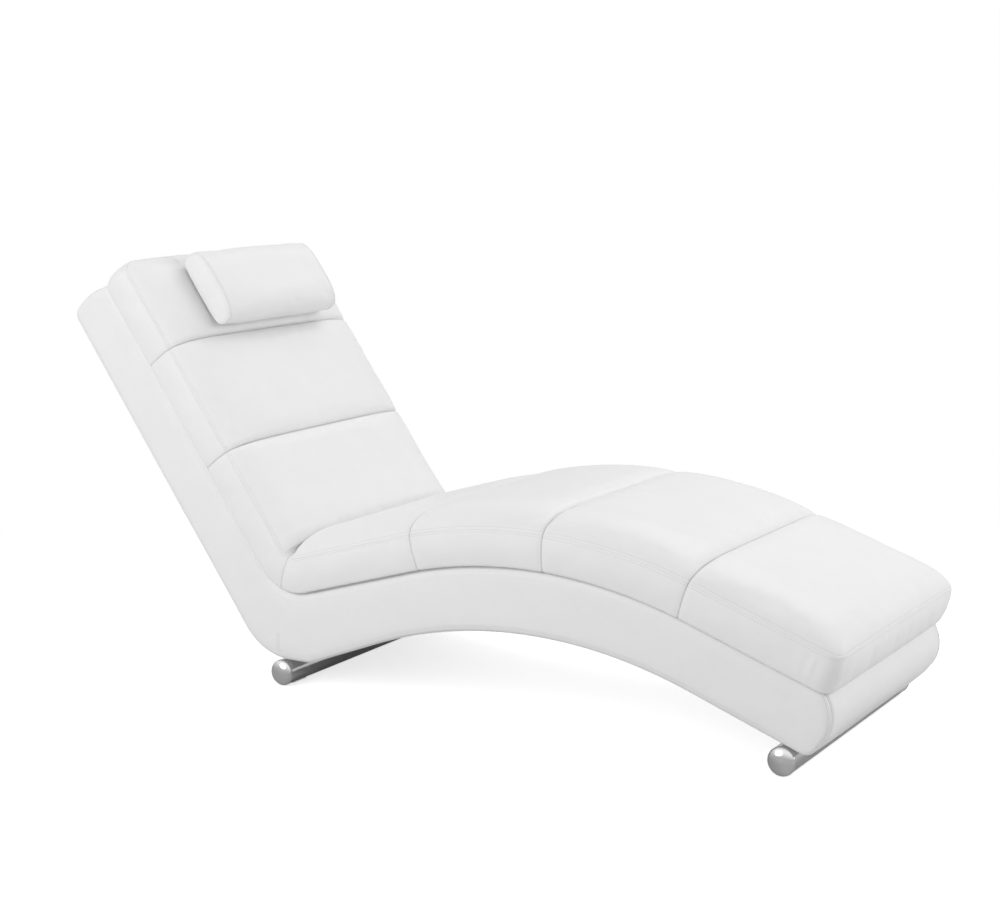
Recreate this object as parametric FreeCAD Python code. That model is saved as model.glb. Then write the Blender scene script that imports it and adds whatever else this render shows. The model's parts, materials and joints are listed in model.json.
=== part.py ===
import FreeCAD, Part
import math
import os

# Spa relaxation lounger: an upholstered S-shaped body on two cross tubes, a padded mat
# in seven crowned panels, and a neck pillow that a counterweight holds on a leather flap.
# Millimetres and degrees. X runs from the head end to the foot end, Z is up, and the
# origin is on the floor under the middle of the part.

# Stance: the line of the deck, on which the mat lies, seen from the side
back_angle = 55.0
seat_angle = 15.7
leg_angle = 19.5
back_run = 726.0
seat_run = 617.0
leg_run = 566.0
crease_ahead = 4.0
crease_height = 176.5
crease_round = 95.0
knee_round = 950.0

# Body: the upholstered shell below the deck
mat_side_overhang = 11.5
back_depth = 116.0
heel_round = 130.0
heel_length = 69.0
heel_front_round = 40.0
arch_rise = 20.5
arch_round = 950.0
toe_angle = 20.0
toe_reach = 40.0
toe_round = 22.0
nose_bulge = 35.0
nose_bulge_share = 0.6
nose_round = 70.0
deck_foot_round = 20.0
deck_head_round = 14.0
head_rise = 6.0
head_bulge = 11.0
head_bulge_round = 120.0
head_back_round = 18.0

# Cover and wadding of the body
cover_thickness = 1.5
wadding_thickness = 8.0
rim_bevel = 6.0

# Timber frame
panel_thickness = 18.0
rail_thickness = 22.0
rail_depth = 62.0
webbing_sag = 16.0
foot_block_depth = 34.0
foot_block_length = 92.0
corner_block_leg = 28.0
corner_block_height = 40.0
corner_block_drop = 10.0
head_rail_place = 30.0
shoulder_rail_place = 235.0
lumbar_rail_to_crease = 247.6
crease_to_seat_rail = 292.4
crease_to_thigh_rail = 552.4
calf_rail_to_foot = 362.3
ankle_rail_to_foot = 162.3
nose_rail_to_foot = 27.3
nose_rail_depth = 34.0

# Webbing straps
strap_width = 50.0
strap_thickness = 1.5
strap_pitch = 76.0
strap_lead = 60.0

# Feet
tube_diameter = 50.0
tube_wall = 2.0
tube_spacing = 1060.0
tube_inset = 6.0
saddle_thickness = 3.0
saddle_length = 44.0
saddle_width = 38.0
saddle_wrap_share = 0.45
cap_lip = 4.0
cap_lip_proud = 0.5
cap_dome = 8.0
cap_dome_radius_shares = (0.93, 0.6, 0.0)
cap_dome_rise_shares = (0.3, 0.78, 1.0)
cap_plug_length = 14.0
cap_plug_fit = 0.3
glide_thickness = 1.5
glide_length = 40.0
glide_width = 14.0
bolt_place = 170.0
bolt_diameter = 8.0
bolt_fit = 0.5
bolt_head_diameter = 13.0
bolt_head_height = 5.0
spot_face_diameter = 17.0
cover_cutout = 14.0
nut_height = 6.0
bolt_end_proud = 3.0

# Mat: grip strips, lining, foam cores and the seven crowned panels
mat_width = 559.0
mat_head_overhang = 7.0
mat_foot_overhang = 12.0
grip_thickness = 2.0
grip_width = 50.0
grip_length = 380.0
grip_sink = 40.0
lining_thickness = 1.5
lining_inset = 6.0
core_top = 56.0
core_wall = 15.0
gusset_height = 70.0
gusset_puff = 4.0
gusset_puff_at_seam = 1.5
gusset_foot_inset = 3.0
seam_draw_in = 2.0
seam_gap = 0.3
seam_valley = 20.0
crease_valley = 80.0
end_valley = 54.0
seam_rise = 30.0
crown_rise = 41.0
crease_seam_rise = 8.0
end_seam_rise = 4.0
end_puff = 11.0
end_puff_margin = 12.0
shoulder_share = 0.82
shoulder_rise_share = 0.76
top_panel_length = 202.0
middle_panel_length = 237.0
seat_panel_length = 338.0
thigh_panel_length = 269.0
knee_panel_length = 271.0

# Neck pillow, flap and counterweight
pillow_length = 350.0
pillow_height = 156.0
pillow_thickness = 60.0
pillow_end_share = 0.86
pillow_place_shares = (-1.0, -0.8, -0.4, 0.4, 0.8, 1.0)
pillow_full_shares = (pillow_end_share, 0.95, 1.0, 1.0, 0.95, pillow_end_share)
pillow_steps = 3
pillow_round_share = 0.44
pillow_bow_share = 0.33
pillow_start = 26.0
pillow_wall = 2.0
pillow_end_length = 5.0
pillow_end_draw = 5.0
flap_width = 326.0
flap_thickness = 1.5
soft_gap = 0.4
flap_front_end = 165.0
flap_crown_run = 52.0
flap_edge_over = 12.0
flap_edge_height = 88.5
flap_nose_over = 26.0
flap_nose_height = 40.0
flap_back_lift = 2.5
flap_crown_round = 60.0
flap_edge_round = 25.0
flap_back_round = 21.0
pillow_travel = 110.0
tail_top_clear = 45.0
tail_lap = 10.0
tail_length = 200.0
pouch_height = 70.0
pouch_thickness = 22.0
pouch_wall = 2.0
pouch_round = 6.0
bar_length = 290.0
bar_height = 52.0

# One overrun for every cutter, and how near two coordinates count as the same
overrun = 10.0
closeness = 0.1
search_steps = 400
hexagon_sides = 6


def heading_vector(angle):
    """Unit vector in the side view at an angle from +X."""
    return math.cos(angle), math.sin(angle)


def moved(point, angle, length):
    """A side-view point moved by a length along an angle."""
    along, up = heading_vector(angle)
    return point[0] + length * along, point[1] + length * up


def side_vector(point, y=0.0):
    """A side-view point at a place across the width, as a 3-D vector."""
    return FreeCAD.Vector(point[0], y, point[1])


class Chain:
    """Straight stretches and tangent arcs through rounded corners, in the side view.

    Place s is measured along the line. Height h is square to it, positive on its left.
    """

    def __init__(self, corners, radii, closed=False):
        count = len(corners)
        last = count if closed else count - 1
        headings = []
        for i in range(last):
            start, end = corners[i], corners[(i + 1) % count]
            headings.append(math.atan2(end[1] - start[1], end[0] - start[0]))
        self.closed = closed
        self.bits = []
        self.corner_places = {}
        turns = {}
        for i in range(0 if closed else 1, last):
            turn = headings[i] - headings[i - 1]
            turns[i] = math.atan2(math.sin(turn), math.cos(turn))
        tangents = {i: radii[i] * math.tan(abs(turns[i]) / 2) for i in turns}
        place = 0.0
        point = moved(corners[0], headings[0], tangents.get(0, 0.0))
        for i in range(1, last + 1):
            corner = i % count
            run_end = moved(corners[corner], headings[i - 1], -tangents.get(corner, 0.0))
            run = math.dist(point, run_end)
            self.bits.append((place, place + run, point, headings[i - 1], 0.0))
            place += run
            point = run_end
            if corner in turns:
                bend = math.copysign(1 / radii[corner], turns[corner])
                run = radii[corner] * abs(turns[corner])
                self.bits.append((place, place + run, point, headings[i - 1], bend))
                self.corner_places[corner] = (place, place + run / 2, place + run)
                place += run
                point = moved(corners[corner], headings[corner], tangents[corner])
        self.length = place

    def bit_at(self, s):
        """The stretch that holds a place; an open chain runs on straight past its ends."""
        for bit in self.bits:
            if s <= bit[1]:
                return bit
        return self.bits[-1]

    def at(self, s, h=0.0):
        """Side-view point at place s and height h."""
        s = s % self.length if self.closed else s
        start, _, point, heading, bend = self.bit_at(s)
        run = s - start
        if bend:
            centre = moved(point, heading + math.pi / 2, 1 / bend)
            heading = heading + run * bend
            point = moved(centre, heading + math.pi / 2, -1 / bend)
            return moved(point, heading + math.pi / 2, h)
        return moved(moved(point, heading, run), heading + math.pi / 2, h)

    def breaks(self, s0, s1):
        """The places between s0 and s1 where one stretch ends and the next begins."""
        laps = (0.0, self.length) if self.closed else (0.0,)
        ends = [bit[1] + lap for lap in laps for bit in self.bits]
        return [s0] + [end for end in ends if s0 < end < s1] + [s1]

    def edges(self, s0, s1, h, y=0.0):
        """Edges that follow the chain from s0 to s1 at one height."""
        places = self.breaks(s0, s1)
        made = []
        for a, b in zip(places, places[1:]):
            middle = (a + b) / 2
            ends = [side_vector(self.at(s, h), y) for s in (a, middle, b)]
            probe = middle % self.length if self.closed else middle
            if self.bit_at(probe)[4]:
                made.append(Part.Arc(*ends).toShape())
            else:
                made.append(Part.LineSegment(ends[0], ends[2]).toShape())
        return made

    def strip(self, s0, s1, h0, h1, y0, y1):
        """A solid band along the chain, between two heights and across the width."""
        low = self.edges(s0, s1, h0, y0)
        high = self.edges(s0, s1, h1, y0)
        ends = [
            Part.LineSegment(*(side_vector(self.at(s, h), y0) for h in (h0, h1))).toShape()
            for s in (s0, s1)
        ]
        wire = Part.Wire(low + ends[1:] + high[::-1] + ends[:1])
        return Part.Face(wire).extrude(FreeCAD.Vector(0, y1 - y0, 0))

    def plate(self, h, y0, y1):
        """The whole outline of a closed chain, moved out by h, as a plate across the width."""
        wire = Part.Wire(self.edges(0.0, self.length, h, y0))
        return Part.Face(wire).extrude(FreeCAD.Vector(0, y1 - y0, 0))


def across(y_half):
    """The two ends of a width that is centred on the part."""
    return -y_half, y_half


def cylinder_y(centre, radius, y0, y1):
    """A cylinder across the width, around a side-view point."""
    return Part.makeCylinder(radius, y1 - y0, side_vector(centre, y0), FreeCAD.Vector(0, 1, 0))


def mirrored(shape):
    """The same shape on the other side of the part."""
    return shape.mirror(FreeCAD.Vector(0, 0, 0), FreeCAD.Vector(0, 1, 0))


# Corner points of the side view, measured from the rear tube's axis on the floor
down_back = math.radians(-back_angle)
up_seat = math.radians(seat_angle)
down_leg = math.radians(-leg_angle)
tube_radius = tube_diameter / 2
tube_axis_height = glide_thickness + tube_radius
rear_axis = (0.0, tube_axis_height)
front_axis = (tube_spacing, tube_axis_height)

crease_corner = (crease_ahead, crease_height)
deck_head = moved(crease_corner, down_back, -back_run)
knee_corner = moved(crease_corner, up_seat, seat_run)
deck_foot = moved(knee_corner, down_leg, leg_run)

heel_level = tube_axis_height + tube_radius + saddle_thickness
back_line_point = moved(deck_head, down_back - math.pi / 2, back_depth)
back_head = moved(back_line_point, down_back, -head_rise)
heel_run = (back_head[1] - heel_level) / math.sin(math.radians(back_angle))
heel_corner = moved(back_head, down_back, heel_run)
heel_front = (heel_length, heel_level)

toe_line = math.radians(-toe_angle)
under_front_tube = moved(front_axis, toe_line + math.pi / 2, tube_radius + saddle_thickness)
toe_corner = moved(under_front_tube, toe_line, toe_reach)
arch_line = math.radians(arch_rise)


def crossing(point_a, angle_a, point_b, angle_b):
    """Where two side-view lines cross."""
    ax, az = heading_vector(angle_a)
    bx, bz = heading_vector(angle_b)
    dx, dz = point_b[0] - point_a[0], point_b[1] - point_a[1]
    return moved(point_a, angle_a, (dx * bz - dz * bx) / (ax * bz - az * bx))


def bulge_point(start, end, share, out):
    """A corner beside the line from start to end, out on its left."""
    heading = math.atan2(end[1] - start[1], end[0] - start[0])
    on_line = moved(start, heading, share * math.dist(start, end))
    return moved(on_line, heading + math.pi / 2, out)


arch_corner = crossing(heel_front, arch_line, toe_corner, toe_line)
nose_corner = bulge_point(deck_foot, toe_corner, 1 - nose_bulge_share, nose_bulge)
head_corner = bulge_point(back_head, deck_head, 1 / 2, head_bulge)

deck = Chain(
    [deck_head, crease_corner, knee_corner, deck_foot],
    [0, crease_round, knee_round, 0],
)
body = Chain(
    [deck_head, crease_corner, knee_corner, deck_foot, nose_corner, toe_corner, arch_corner,
     heel_front, heel_corner, back_head, head_corner],
    [deck_head_round, crease_round, knee_round, deck_foot_round, nose_round, toe_round, arch_round,
     heel_front_round, heel_round, head_back_round, head_bulge_round],
    closed=True,
)
DECK_HEAD, CREASE, KNEE, DECK_FOOT, NOSE, TOE, ARCH, HEEL_FRONT, HEEL, BACK_HEAD, HEAD = range(11)

half_mat = mat_width / 2
half_body = half_mat - mat_side_overhang
half_tube = half_body - tube_inset
frame_inset = cover_thickness + wadding_thickness
frame_outside = half_body - frame_inset
frame_inside = frame_outside - panel_thickness
half_flap = flap_width / 2

# The body outline's stretches, each from the middle of one rounded corner to the next
stretch_ends = {
    "deck": (body.corner_places[DECK_HEAD][1], body.corner_places[DECK_FOOT][1] + body.length),
    "nose": (body.corner_places[DECK_FOOT][1], body.corner_places[TOE][1]),
    "arch": (body.corner_places[TOE][1], body.corner_places[HEEL][1]),
    "back": (body.corner_places[HEEL][1], body.corner_places[BACK_HEAD][1]),
    "head": (body.corner_places[BACK_HEAD][1], body.corner_places[DECK_HEAD][1]),
}


# Each foot: its axis and the angle of its bolts, which point up into the body
feet = {
    "rear": (rear_axis, math.pi / 2),
    "front": (front_axis, toe_line + math.pi / 2),
}


def bolt_cylinder(foot, y, diameter, start, end):
    """A cylinder round a foot's bolt line, between two distances from the tube's axis."""
    axis, angle = feet[foot]
    along, up = heading_vector(angle)
    base = side_vector(moved(axis, angle, start), y)
    return Part.makeCylinder(diameter / 2, end - start, base, FreeCAD.Vector(along, 0, up))


def bolt_hexagon(foot, y, diameter, start, end):
    """A hexagon prism round a foot's bolt line, between two distances from the tube's axis."""
    axis, angle = feet[foot]
    ring = []
    for corner in range(hexagon_sides):
        out = moved((0.0, y), 2 * math.pi * corner / hexagon_sides, diameter / 2)
        ring.append(side_vector(moved(moved(axis, angle, start), angle - math.pi / 2, out[0]), out[1]))
    along, up = heading_vector(angle)
    return Part.Face(Part.makePolygon(ring + ring[:1])).extrude(
        FreeCAD.Vector(along, 0, up) * (end - start))


def bolt_holes(diameter, start, end):
    """Six-sided holes round the four bolt lines of both feet, as one cutter."""
    holes = [bolt_hexagon(foot, y, diameter, start, end) for foot in feet for y in across(bolt_place)]
    return Part.makeCompound(holes)


# Distances from the tube's axis, up along the bolt line
body_start = tube_radius + saddle_thickness
block_start = body_start + cover_thickness
block_end = block_start + foot_block_depth
clear_hole = (bolt_diameter + 2 * bolt_fit) / math.cos(math.pi / hexagon_sides)


# A bevel on the inside of the cover that keeps the cover's thickness
inner_bevel = rim_bevel - cover_thickness * (1 - math.tan(math.pi / 8))


def make_body_covers():
    """The leather skin: two bevelled side pieces and a band in five lengths between them."""
    bodies = {}
    outer = body.plate(0.0, *across(half_body))
    inner = body.plate(-cover_thickness, *across(half_body - cover_thickness))
    outer = outer.makeChamfer(rim_bevel, side_rim_edges(outer, half_body))
    inner = inner.makeChamfer(inner_bevel, side_rim_edges(inner, half_body - cover_thickness))
    skin = outer.cut(inner)
    box = outer.BoundBox
    band_half = half_body - rim_bevel
    corner = FreeCAD.Vector(box.XMin - overrun, band_half, box.ZMin - overrun)
    side_zone = Part.makeBox(
        box.XLength + 2 * overrun,
        rim_bevel + overrun,
        box.ZLength + 2 * overrun,
        corner,
    )
    bodies["side_cover_left"] = skin.common(side_zone)
    bodies["side_cover_right"] = mirrored(bodies["side_cover_left"])
    cutouts = bolt_holes(cover_cutout, tube_radius, block_end)
    for name, (start, end) in stretch_ends.items():
        band = body.strip(start, end, -cover_thickness, 0.0, *across(band_half))
        bodies[name + "_cover"] = band.cut(cutouts) if name == "arch" else band
    return bodies


def side_rim_edges(plate, y_face):
    """The edges of a plate that run round its two outer faces."""
    rim = []
    for edge in plate.Edges:
        if all(abs(abs(vertex.Y) - y_face) < closeness for vertex in edge.Vertexes):
            if abs(edge.Vertexes[0].Y - edge.Vertexes[-1].Y) < closeness:
                rim.append(edge)
    return rim


def make_wadding():
    """Foam wadding between the timber frame and the cover."""
    bodies = {}
    side = body.plate(-cover_thickness - inner_bevel, frame_outside, half_body - cover_thickness)
    bodies["side_wadding_left"] = side
    bodies["side_wadding_right"] = mirrored(side)
    for name, (start, end) in stretch_ends.items():
        low = strap_thickness - frame_inset if name == "deck" else -frame_inset
        band = body.strip(start, end, low, -cover_thickness, *across(frame_outside))
        if name == "arch":
            for block in make_foot_blocks([]).values():
                band = band.cut(block)
        bodies[name + "_wadding"] = band
    return bodies


def make_foot_blocks(holes):
    """Hardwood blocks across the body that the feet are bolted to, with any cutters taken out."""
    blocks = {}
    ranges = {
        "rear": ("heel_block", body.corner_places[HEEL_FRONT][2], body.corner_places[HEEL][1]),
        "front": ("toe_block", body.corner_places[TOE][2], body.corner_places[ARCH][0]),
    }
    for foot, (name, range_start, range_end) in ranges.items():
        axis, angle = feet[foot]
        place = nearest_place(body, moved(axis, angle, body_start), range_start, range_end)
        start = max(place - foot_block_length / 2, range_start)
        end = min(place + foot_block_length / 2, range_end)
        block = body.strip(
            start, end, -cover_thickness - foot_block_depth, -cover_thickness, *across(frame_inside)
        )
        for hole in holes:
            block = block.cut(hole)
        blocks[name] = block
    return blocks


def nearest_place(chain, point, start, end):
    """The place on a chain, between two others, that lies nearest to a point."""
    places = [start + (end - start) * i / search_steps for i in range(search_steps + 1)]
    return min(places, key=lambda s: math.dist(chain.at(s), point))


# Rails stand at distances from the head end, the crease and the foot end of the deck
crease_place = deck.corner_places[CREASE][1]
rail_places = {
    "head_rail": head_rail_place,
    "shoulder_rail": shoulder_rail_place,
    "lumbar_rail": crease_place - lumbar_rail_to_crease,
    "crease_rail": crease_place,
    "seat_rail": crease_place + crease_to_seat_rail,
    "thigh_rail": crease_place + crease_to_thigh_rail,
    "calf_rail": deck.length - calf_rail_to_foot,
    "ankle_rail": deck.length - ankle_rail_to_foot,
    "nose_rail": deck.length - nose_rail_to_foot,
}
rail_top = -(frame_inset + webbing_sag)


def make_frame():
    """Two shaped timber side panels, nine cross rails, foot blocks and glue blocks."""
    bodies = {}
    side = body.plate(-frame_inset, frame_inside, frame_outside)
    bodies["side_panel_left"] = side
    bodies["side_panel_right"] = mirrored(side)
    half = rail_thickness / 2
    glue_blocks = []
    for name, place in rail_places.items():
        depth = nose_rail_depth if name == "nose_rail" else rail_depth
        bodies[name] = deck.strip(
            place - half, place + half, rail_top - depth, rail_top, *across(frame_inside)
        )
        if name != "nose_rail":
            glue_blocks.append(glue_block(place + half))
            glue_blocks.append(mirrored(glue_block(place + half)))
    through = bolt_holes(clear_hole, block_start - overrun, block_end)
    spot_faces = bolt_holes(spot_face_diameter, block_end, block_end + overrun)
    bodies.update(make_foot_blocks([through, spot_faces]))
    bodies["corner_blocks"] = Part.makeCompound(glue_blocks)
    return bodies


def cross_edges(solid):
    """The edges of a solid that run straight across the width."""
    found = []
    for edge in solid.Edges:
        span = edge.Vertexes[-1].Point - edge.Vertexes[0].Point
        if abs(span.y) > overrun and abs(span.x) + abs(span.z) < closeness:
            found.append(edge)
    return found


def glue_block(place):
    """A three-sided glue block in the corner between a rail and the left side panel."""
    top = rail_top - corner_block_drop
    corners = [
        (place, frame_inside),
        (place + corner_block_leg, frame_inside),
        (place, frame_inside - corner_block_leg),
    ]
    bottom = top - corner_block_height
    ring = [side_vector(deck.at(s, bottom), y) for s, y in corners]
    rise = side_vector(deck.at(place, top)) - side_vector(deck.at(place, bottom))
    return Part.Face(Part.makePolygon(ring + ring[:1])).extrude(rise)


def make_webbing():
    """Elastic straps stretched across the frame under the mat."""
    bodies = {}
    crease_start, _, crease_end = deck.corner_places[CREASE]
    spans = {
        "back_webbing": (strap_lead, crease_start),
        "seat_webbing": (crease_end, deck.length - strap_lead),
    }
    for name, (start, end) in spans.items():
        count = int((end - start - strap_width) // strap_pitch) + 1
        slack = (end - start) - strap_width - (count - 1) * strap_pitch
        straps = []
        for i in range(count):
            place = start + slack / 2 + i * strap_pitch
            straps.append(deck.strip(
                place, place + strap_width, -frame_inset, strap_thickness - frame_inset,
                *across(frame_outside),
            ))
        bodies[name] = Part.makeCompound(straps)
    return bodies


def make_feet():
    """Chrome cross tubes with end caps, saddles, bolts, nuts and floor glides."""
    bodies = {}
    caps, glides, saddles, bolts, nuts = [], [], [], [], []
    outer_body = body.plate(0.0, *across(half_body))
    for foot, (axis, _) in feet.items():
        tube = cylinder_y(axis, tube_radius, *across(half_tube))
        tube = tube.cut(cylinder_y(axis, bore_radius, *across(half_tube + overrun)))
        for y in across(bolt_place):
            tube = tube.cut(bolt_hexagon(foot, y, clear_hole, 0.0, tube_radius + overrun))
            saddles.append(saddle(foot, y, outer_body))
            bolts.append(foot_bolt(foot, y))
            nuts.append(foot_nut(foot, y))
            glides.append(floor_glide(axis, math.copysign(half_tube - glide_length, y)))
        bodies[foot + "_tube"] = tube
        cap = end_cap(axis)
        caps.extend([cap, mirrored(cap)])
    bodies["tube_end_caps"] = Part.makeCompound(caps)
    bodies["tube_saddles"] = Part.makeCompound(saddles)
    bodies["foot_bolts"] = Part.makeCompound(bolts)
    bodies["foot_nuts"] = Part.makeCompound(nuts)
    bodies["floor_glides"] = Part.makeCompound(glides)
    return bodies


def end_cap(axis):
    """A low domed cap with a plug that fits the tube's bore."""
    lip_radius = tube_radius + cap_lip_proud
    plug_radius = bore_radius - cap_plug_fit
    face = half_tube + cap_lip
    points = [
        (0.0, half_tube - cap_plug_length), (plug_radius, half_tube - cap_plug_length),
        (plug_radius, half_tube), (lip_radius, half_tube), (lip_radius, face),
    ]
    for radius_share, rise_share in zip(cap_dome_radius_shares, cap_dome_rise_shares):
        points.append((radius_share * lip_radius, face + rise_share * cap_dome))
    ring = [FreeCAD.Vector(axis[0] + r, y, axis[1]) for r, y in points]
    profile = Part.Face(Part.makePolygon(ring + ring[:1]))
    return profile.revolve(side_vector(axis), FreeCAD.Vector(0, 1, 0), 360)


def saddle(foot, y, outer_body):
    """A moulded saddle between a tube and the underside of the body."""
    axis, angle = feet[foot]
    start = tube_radius * (1 - saddle_wrap_share)
    block = Part.makeBox(saddle_width, saddle_length, body_start + tube_radius - start)
    block.translate(FreeCAD.Vector(-saddle_width / 2, -saddle_length / 2, start))
    turn = math.degrees(math.pi / 2 - angle)
    block.rotate(FreeCAD.Vector(0, 0, 0), FreeCAD.Vector(0, 1, 0), turn)
    block.translate(side_vector(axis, y))
    block = block.cut(cylinder_y(axis, tube_radius, *across(half_body)))
    block = block.cut(outer_body)
    return block.cut(bolt_hexagon(foot, y, clear_hole, 0.0, body_start + overrun))


# Where a nut bears against the tube's bore, measured up the bolt line
bore_radius = tube_radius - tube_wall
nut_seat = math.sqrt(bore_radius ** 2 - (bolt_head_diameter / 2) ** 2)


def foot_bolt(foot, y):
    """A bolt with its hexagon head on the foot block and its end past the nut."""
    head = bolt_hexagon(foot, y, bolt_head_diameter, block_end, block_end + bolt_head_height)
    start = nut_seat - nut_height - bolt_end_proud
    return head.fuse(bolt_cylinder(foot, y, bolt_diameter, start, block_end))


def foot_nut(foot, y):
    """A hexagon nut on the bolt, up against the inside of the tube."""
    nut = bolt_hexagon(foot, y, bolt_head_diameter, nut_seat - nut_height, nut_seat)
    return nut.cut(bolt_cylinder(foot, y, bolt_diameter, 0.0, tube_radius))


def floor_glide(axis, y):
    """A thin clear glide under a tube, with a flat foot on the floor."""
    block = Part.makeBox(glide_width, glide_length, tube_axis_height)
    block.translate(FreeCAD.Vector(axis[0] - glide_width / 2, y - glide_length / 2, 0))
    return block.cut(cylinder_y(axis, tube_radius, *across(half_body)))


# Seam places along the deck line, from the head end to the foot end
mat_head = -mat_head_overhang
mat_foot = deck.length + mat_foot_overhang
top_seam = mat_head + top_panel_length
middle_seam = top_seam + middle_panel_length
seat_seam = crease_place + seat_panel_length
thigh_seam = seat_seam + thigh_panel_length
knee_seam = thigh_seam + knee_panel_length
mat_bottom = grip_thickness + lining_thickness

# How the crown comes up beside a seam: shares of its run, and how full the crown is there
end_shares = ((0.0, 0.0), (0.35, 0.6), (1.0, 0.93))
crease_shares = ((0.0, 0.0), (0.35, 0.18), (1.0, 0.93))
seam_shares = ((0.0, 0.0), (1.0, 0.88))
# Each seam across the mat: its place, the rise of the crown there, and the run over which
# the crown comes up to nearly its full height on either side
head_edge = (mat_head, end_seam_rise, end_valley, end_shares)
foot_edge = (mat_foot, end_seam_rise, end_valley, end_shares)
crease_seam = (crease_place, crease_seam_rise, crease_valley, crease_shares)
cross_seams = [(place, seam_rise, seam_valley, seam_shares) for place in
               (top_seam, middle_seam, seat_seam, thigh_seam, knee_seam)]
mat_seams = [head_edge, *cross_seams[:2], crease_seam, *cross_seams[2:], foot_edge]
panel_names = ("head", "shoulder", "lumbar", "seat", "thigh", "knee", "foot")
# Chords in which a cross-section turns: gusset, shoulder and half of the crown
gusset_steps = 2
shoulder_steps = 3
crown_steps = 2


def tangent_arc(start, heading, end):
    """An arc in a section plane that leaves a point along a heading and ends at another."""
    dy, dh = end[0] - start[0], end[1] - start[1]
    across_y, across_h = -math.sin(heading), math.cos(heading)
    reach = dy * across_y + dh * across_h
    radius = (dy ** 2 + dh ** 2) / (2 * reach)
    centre = start[0] + radius * across_y, start[1] + radius * across_h
    middle = (start[0] + end[0]) / 2, (start[1] + end[1]) / 2
    out = math.dist(centre, middle)
    scale = abs(radius) / out
    return centre[0] + (middle[0] - centre[0]) * scale, centre[1] + (middle[1] - centre[1]) * scale


def chords(start, middle, end, steps):
    """Points along the arc through three points in a section plane, without its start."""
    arc = Part.Arc(*(FreeCAD.Vector(y, h, 0) for y, h in (start, middle, end)))
    return [(spot.x, spot.y) for spot in arc.discretize(steps + 1)[1:]]


def mat_section(place, rise, fullness, shrink=0.0):
    """One cross-section of the mat: flat foot, puffed gussets and a crowned top."""
    puff = gusset_puff_at_seam + fullness * (gusset_puff - gusset_puff_at_seam)
    welt_y = half_mat - (1 - fullness) * seam_draw_in - shrink
    foot_y = welt_y - gusset_foot_inset
    foot_h, welt_h = mat_bottom + shrink, gusset_height - shrink
    crown_h = welt_h + rise
    shoulder = (shoulder_share * welt_y, welt_h + shoulder_rise_share * rise)
    slope = -2 * math.atan2(crown_h - shoulder[1], shoulder[0])
    side = ((foot_y + welt_y) / 2 + puff, (foot_h + welt_h) / 2)
    turn = tangent_arc(shoulder, slope, (welt_y, welt_h))

    foot, welt = (foot_y, foot_h), (welt_y, welt_h)
    half = [foot]
    half += chords(foot, side, welt, gusset_steps)
    half += chords(welt, turn, shoulder, shoulder_steps)
    half += chords(shoulder, (0.0, crown_h), (-shoulder[0], shoulder[1]), 2 * crown_steps)[:crown_steps]
    other = [(-y, h) for y, h in half[-2::-1]]
    ring = [side_vector(deck.at(place, h), y) for y, h in half + other]
    return Part.makePolygon(ring + ring[:1])


def end_section(place):
    """The outermost cross-section of the mat, drawn in all round, at its head or foot end."""
    return mat_section(place, end_seam_rise, 1.0, end_puff_margin)


def half_stations(seam, inward):
    """Cross-sections of a panel from one of its seams to where the crown is nearly full."""
    place, rise, valley, shares = seam
    if seam not in (head_edge, foot_edge):
        place += inward * seam_gap / 2
    stations = []
    for run_share, rise_share in shares:
        here = place + inward * run_share * valley
        stations.append((here, rise + rise_share * (crown_rise - rise), rise_share))
    return stations


def panel_stations(first, second):
    """All cross-sections of the panel between two seams, with the full crown in the middle."""
    middle = ((first[0] + second[0]) / 2, crown_rise, 1.0)
    return half_stations(first, 1) + [middle] + half_stations(second, -1)[::-1]


def make_mat():
    """Grip strips, lining, two foam cores and seven crowned, channelled panels."""
    bodies = {}
    core_half = half_mat - core_wall
    cores = {
        "back_foam_core": (mat_head + core_wall, crease_place),
        "seat_foam_core": (crease_place, mat_foot - core_wall),
    }
    for name, (start, end) in cores.items():
        bodies[name] = deck.strip(start, end, mat_bottom, core_top, *across(core_half))
    lining_half = half_mat - gusset_foot_inset - lining_inset
    bodies["mat_lining"] = deck.strip(
        mat_head + lining_inset, mat_foot - lining_inset, grip_thickness, mat_bottom,
        *across(lining_half),
    )
    grips = [
        deck.strip(place, place + grip_width, 0.0, grip_thickness, *across(grip_length / 2))
        for place in (grip_sink, middle_seam, seat_seam, thigh_seam, deck.length - 2 * grip_sink)
    ]
    bodies["grip_strips"] = Part.makeCompound(grips)
    for name, first, second in zip(panel_names, mat_seams, mat_seams[1:]):
        stations = panel_stations(first, second)
        sections = [mat_section(*station) for station in stations]
        if first is head_edge:
            sections.insert(0, end_section(mat_head - end_puff))
        if second is foot_edge:
            sections.append(end_section(mat_foot + end_puff))
        panel = Part.makeLoft(sections, True, True)
        for inner in (*cores, "mat_lining"):
            panel = panel.cut(bodies[inner])
        bodies["mat_panel_" + name] = panel
    return bodies


# Along the back: where the moving tail starts below the top, and where the fixed flap ends
tail_start = pillow_travel + tail_top_clear
flap_back_length = tail_start + tail_lap
crown_height = gusset_height + crown_rise
flap_height = crown_height + soft_gap
pillow_seat = flap_height + flap_thickness + soft_gap


def flap_chain():
    """The line of the flap's inner face, from under the pillow over the head end and down."""
    back_top = body.corner_places[BACK_HEAD][0]
    outward = down_back - math.pi / 2
    back_corner = moved(moved(back_head, outward, soft_gap), down_back, -flap_back_lift)
    corners = [
        deck.at(flap_front_end, flap_height),
        deck.at(flap_crown_run, flap_height),
        deck.at(-flap_edge_over, flap_edge_height),
        deck.at(-flap_nose_over, flap_nose_height),
        back_corner,
        body.at(back_top - flap_back_length, soft_gap),
    ]
    radii = [0, flap_crown_round, flap_edge_round, flap_edge_round, flap_back_round, 0]
    return Chain(corners, radii)


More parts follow.
